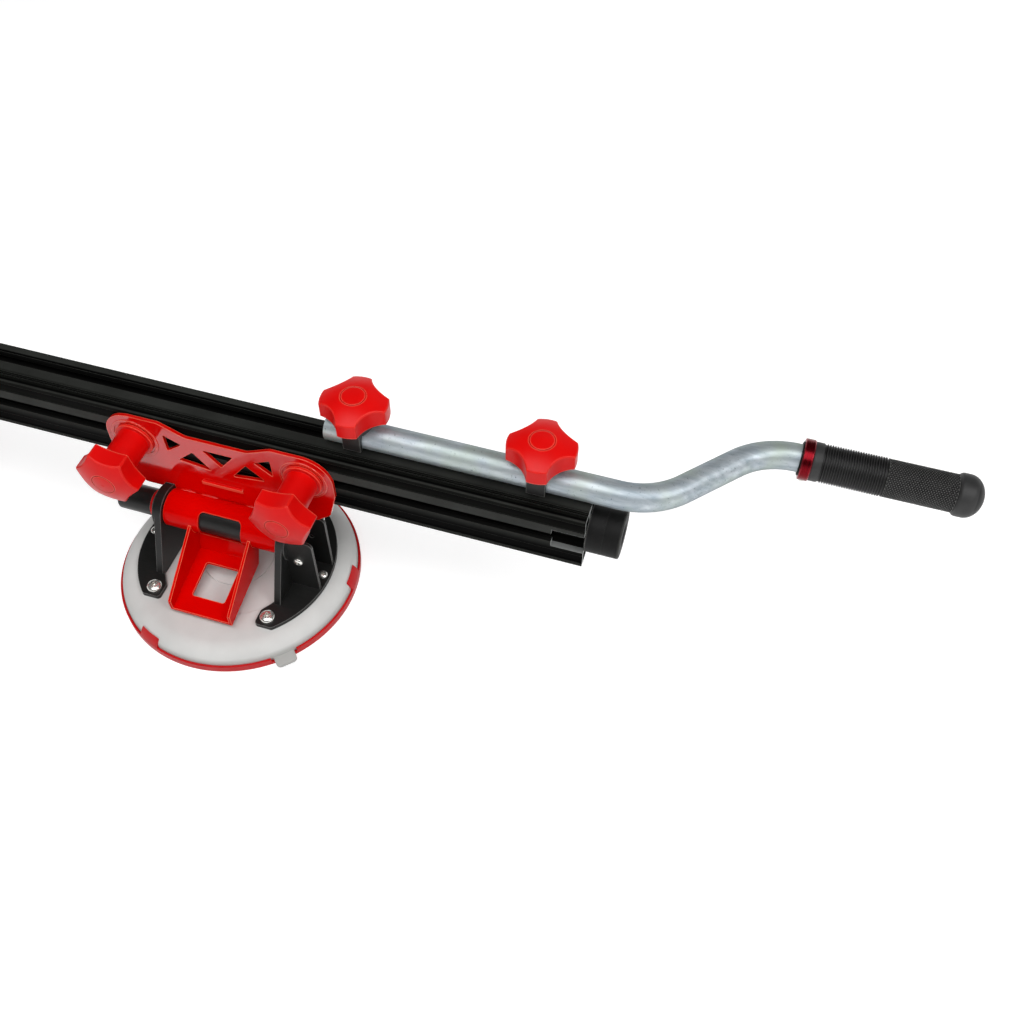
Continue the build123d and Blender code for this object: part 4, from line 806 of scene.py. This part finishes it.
for end, way in ENDS:
    shape = turned(pad_section(), PAD_STEPS)
    bmesh.ops.rotate(shape, verts=shape.verts, cent=(0, 0, 0), matrix=UPRIGHT)
    join(shape, release_tab())
    bmesh.ops.translate(shape, verts=shape.verts, vec=(way * CUP_X * MM, CUP_Y * MM, 0))
    bmesh.ops.recalc_face_normals(shape, faces=shape.faces)
    keep("rubber_pad_" + end, shape, pale_rubber, end + "_cup", "grey_rubber", f"cup_pad_{end}_cup")

# %% [markdown]
# ## Cross-recess screws
# Pan-headed screws hold the legs' flanges to the pad, and small ones sit on the fins of the right leg. A
# cold-formed head is a low dome with a cross punched into it. The dome is turned, and the cross is cut with a
# Boolean from two crossed bars that narrow downwards, as a punch does. The bars are given as shares of the
# head's width and height. Each size of head is made once and set down in its places, each turned its own way.

# %% Cross-recess screws
FLANGE_TOP = 24.5
BIG_HEAD = (13.0, 4.0)
SMALL_HEAD = (8.0, 2.8)
BIG_SCREWS = ((53, 54.25), (53, -54.25), (-53, 54.25), (-53, -54.25))
SMALL_SCREWS = ((81, 0), (-81, 0))
FIN_SCREW_X = 70.0
FIN_SCREW_Z = 61.0
FIN_OUTSIDE = 15.0
HEAD_STEPS = 40
HEAD_DOME_STEPS = 8
HEAD_SIDE = 0.3
HEAD_FULLNESS = 0.7
CROSS_LENGTH = 0.62
CROSS_WIDTH = 0.18
CROSS_HEIGHT = 1.6
CROSS_MIDDLE = 1.05
CROSS_TIP_LENGTH = 0.45
CROSS_TIP_WIDTH = 0.6


def carved(shape, cutter):
    """One bmesh with another cut out of it by a Boolean modifier."""
    helpers = []
    for name, part in (("blank", shape), ("punch", cutter)):
        mesh = bpy.data.meshes.new(name)
        part.to_mesh(mesh)
        part.free()
        helpers.append(bpy.data.objects.new(name, mesh))
        bpy.context.scene.collection.objects.link(helpers[-1])
    blank, punch = helpers
    cut = blank.modifiers.new("cross", "BOOLEAN")
    cut.operation = "DIFFERENCE"
    cut.solver = "EXACT"
    cut.use_self = True
    cut.object = punch
    result = bpy.data.meshes.new_from_object(blank.evaluated_get(bpy.context.evaluated_depsgraph_get()))
    for helper in helpers:
        bpy.data.objects.remove(helper)
    return result


def pan_head(width, height):
    """A mesh of a pan head that stands on Z nought, with its cross recess cut."""
    radius = width / 2
    section = [(0, 0), (0, radius - 0.2), (0.2, radius)]
    section += [(height * (HEAD_SIDE + (1 - HEAD_SIDE) * rise), radius * run ** HEAD_FULLNESS)
                for rise, run in quarter(HEAD_DOME_STEPS)]
    head = turned(section, HEAD_STEPS)
    bmesh.ops.rotate(head, verts=head.verts, cent=(0, 0, 0), matrix=UPRIGHT)
    punch = bmesh.new()
    for turn in (0, 90):
        bar = bmesh.ops.create_cube(punch, size=1)["verts"]
        size = (CROSS_LENGTH * width * MM, CROSS_WIDTH * width * MM, CROSS_HEIGHT * height * MM)
        bmesh.ops.scale(punch, verts=bar, vec=size)
        for vertex in bar:
            if vertex.co.z < 0:
                vertex.co.x *= CROSS_TIP_LENGTH
                vertex.co.y *= CROSS_TIP_WIDTH
        bmesh.ops.translate(punch, verts=bar, vec=(0, 0, CROSS_MIDDLE * height * MM))
        bmesh.ops.rotate(punch, verts=bar, cent=(0, 0, 0), matrix=Matrix.Rotation(radians(turn), 3, "Z"))
    return carved(head, punch)


big_head = pan_head(*BIG_HEAD)
small_head = pan_head(*SMALL_HEAD)
print("screw head faces:", len(big_head.polygons), len(small_head.polygons))
for end, way in ENDS:
    shape = bmesh.new()
    seats = [(big_head, x, y, FLANGE_TOP, 0, 17 * x + y) for x, y in BIG_SCREWS]
    seats += [(small_head, x, y, FLANGE_TOP, 0, 31 * x) for x, y in SMALL_SCREWS]
    seats += [(small_head, FIN_SCREW_X, FIN_OUTSIDE, FIN_SCREW_Z, -90, 20)]
    seats += [(small_head, FIN_SCREW_X, -FIN_OUTSIDE, FIN_SCREW_Z, 90, 65)]
    for head, x, y, z, tip_over, spin in seats:
        before = len(shape.verts)
        shape.from_mesh(head)
        shape.verts.ensure_lookup_table()
        fresh = shape.verts[before:]
        turn = Matrix.Rotation(radians(tip_over), 4, "X") @ Matrix.Rotation(radians(spin), 4, "Z")
        seat = Vector((way * CUP_X + x, CUP_Y + y, z)) * MM
        bmesh.ops.transform(shape, verts=fresh, matrix=Matrix.Translation(seat) @ turn)
    keep("cross_screws_" + end, shape, steel, end + "_cup", "steel", f"cup_screws_{end}_cup")

# %% [markdown]
# ## Weld beads
# The plate's foot stands on the back of the sleeve and is held by short welds along the joint, powder coated
# with the rest. A weld bead is a row of frozen ripples, so each is a row of flattened balls that overlap by
# half. They lie in the corner between the plate's front and the sleeve, where the welder could reach.

# %% Weld beads
BAR_HEIGHT = 71.0
SLEEVE_RADIUS = 16.5
PLATE_FRONT = 11.5
BEAD_RADIUS = 1.5
RIPPLE = 1.3
RIPPLE_LENGTH = 0.8
END_TAPER = 0.35
BALL_SEGMENTS = 12
BALL_RINGS = 8
BEAD_FORWARD = 0.5
BEAD_UP = 0.3
WELDS = ((-46, -34), (-27, -13), (15, 29), (36, 47))

for end, way in ENDS:
    shape = bmesh.new()
    corner = BAR_HEIGHT + (SLEEVE_RADIUS ** 2 - PLATE_FRONT ** 2) ** 0.5
    seam = Vector((way * CUP_X, CUP_Y + PLATE_FRONT - BEAD_FORWARD, corner + BEAD_UP))
    for first, last in WELDS:
        count = round((last - first) / RIPPLE)
        for number in range(count + 1):
            ripple = bmesh.ops.create_uvsphere(shape, u_segments=BALL_SEGMENTS, v_segments=BALL_RINGS,
                                               radius=BEAD_RADIUS * MM)["verts"]
            swell = 1 - END_TAPER * abs(2 * number / count - 1) ** 3
            bmesh.ops.scale(shape, verts=ripple, vec=(RIPPLE_LENGTH, swell, swell))
            along = first + (last - first) * number / count
            bmesh.ops.translate(shape, verts=ripple, vec=(seam + Vector((along, 0, 0))) * MM)
    keep("weld_beads_" + end, shape, weld_coat, end + "_cup", "red_paint")

# %% [markdown]
# ## Floor
# The photograph is a cut-out on white with hardly any shadow. The floor is a pale sheet that looks white to the
# camera and to reflections and still keeps a faint shadow. Its glow grows with the distance from the bar,
# because the lamps light it less there. From here on sizes and places are in metres.

# %% Floor
FLOOR_SIZE = 12.0
FLOOR_DROP = 0.4 * MM
GLOW_NEAR = 0.68
GLOW_FAR = 1.0
LIT_RADIUS = 0.9
FADED_RADIUS = 2.4
shape = bmesh.new()
bmesh.ops.create_grid(shape, x_segments=1, y_segments=1, size=FLOOR_SIZE / 2)
bmesh.ops.translate(shape, verts=shape.verts, vec=(0, 0, -FLOOR_DROP))
floor_mesh = bpy.data.meshes.new("floor")
shape.to_mesh(floor_mesh)
shape.free()
floor = bpy.data.objects.new("floor", floor_mesh)
bpy.context.scene.collection.objects.link(floor)

floor_paper, tree, shader, place = new_finish("white floor paper")
path = add(tree, "LightPath")
seen = add(tree, "Math", {0: path.outputs["Is Camera Ray"], 1: path.outputs["Is Glossy Ray"]},
           operation="MAXIMUM")
seen = add(tree, "Math", {0: seen.outputs[0], 1: path.outputs["Is Transmission Ray"]}, operation="MAXIMUM")
away = add(tree, "VectorMath", {0: place}, operation="LENGTH").outputs["Value"]
level = add(tree, "MapRange", {"Value": away, "From Min": LIT_RADIUS, "From Max": FADED_RADIUS,
                               "To Min": GLOW_NEAR, "To Max": GLOW_FAR}, interpolation_type="SMOOTHSTEP")
glow = add(tree, "Math", {0: seen.outputs[0], 1: level.outputs[0]}, operation="MULTIPLY")
plug(tree, shader, {"Base Color": linear("#c4c4c4"), "Roughness": 0.9, "Specular IOR Level": 0.0,
                    "Emission Color": (1, 1, 1, 1), "Emission Strength": glow.outputs[0]})
floor.data.materials.append(floor_paper)
print("floor width:", FLOOR_SIZE, "m")

# %% [markdown]
# ## Room
# A studio's white walls could be modelled, but only their light matters here. The world stands for them: bright
# along the horizon and dark overhead, because the red tops are pure red in the photograph and the upright faces
# are hazed by the white around them.

# %% Room
ROOM_BRIGHT = 1.0
ROOM_DARK = 0.07
BRIGHT_BELOW = 0.1
DARK_ABOVE = 0.34
world = bpy.data.worlds.new("studio")
bpy.context.scene.world = world
world.use_nodes = True
room = world.node_tree
way_out = add(room, "SeparateXYZ", {0: add(room, "TexCoord").outputs["Generated"]})
level = add(room, "MapRange", {"Value": way_out.outputs["Z"], "From Min": BRIGHT_BELOW, "From Max": DARK_ABOVE,
                               "To Min": ROOM_BRIGHT, "To Max": ROOM_DARK}, interpolation_type="SMOOTHSTEP")
plug(room, room.nodes["Background"], {"Color": (1, 1, 1, 1), "Strength": level.outputs[0]})
print("room strength:", ROOM_BRIGHT, "to", ROOM_DARK)

# %% [markdown]
# ## Lamps
# A large soft lamp above the bar's front does most of the lighting, and the tube, the grip and the rounded edges
# mirror it as a long highlight. Lamps in front and behind fill the shadows and are left out of reflections, as
# behind a polarising sheet, and a smaller lamp at the right lights the ends and gives the few sharp glints.

# %% Lamps
def soft_lamp(name, place, aim, size, power, mirrored):
    """A lamp of a width and height that shines from a place to an aim, and may be left out of reflections."""
    lamp = bpy.data.objects.new(name, bpy.data.lights.new(name, "AREA"))
    lamp.data.shape = "RECTANGLE"
    lamp.data.size, lamp.data.size_y = size
    lamp.data.energy = power
    lamp.location = place
    lamp.rotation_euler = (Vector(aim) - Vector(place)).to_track_quat("-Z", "Y").to_euler()
    lamp.visible_glossy = mirrored
    bpy.context.scene.collection.objects.link(lamp)
    print(name, power, "W")


AIM = (0.3, 0.0, 0.1)
soft_lamp("lamp above", (0.25, -0.62, 2.15), AIM, (1.7, 1.5), 28, True)
soft_lamp("lamp in front", (0.5, -2.0, 1.2), AIM, (1.4, 1.4), 9.5, False)
soft_lamp("lamp behind", (0.7, 1.7, 1.5), AIM, (1.2, 1.2), 8, False)
soft_lamp("lamp at the right", (1.9, -0.5, 1.85), AIM, (0.8, 0.8), 16.5, True)
bpy.context.scene.view_settings.view_transform = "Standard"
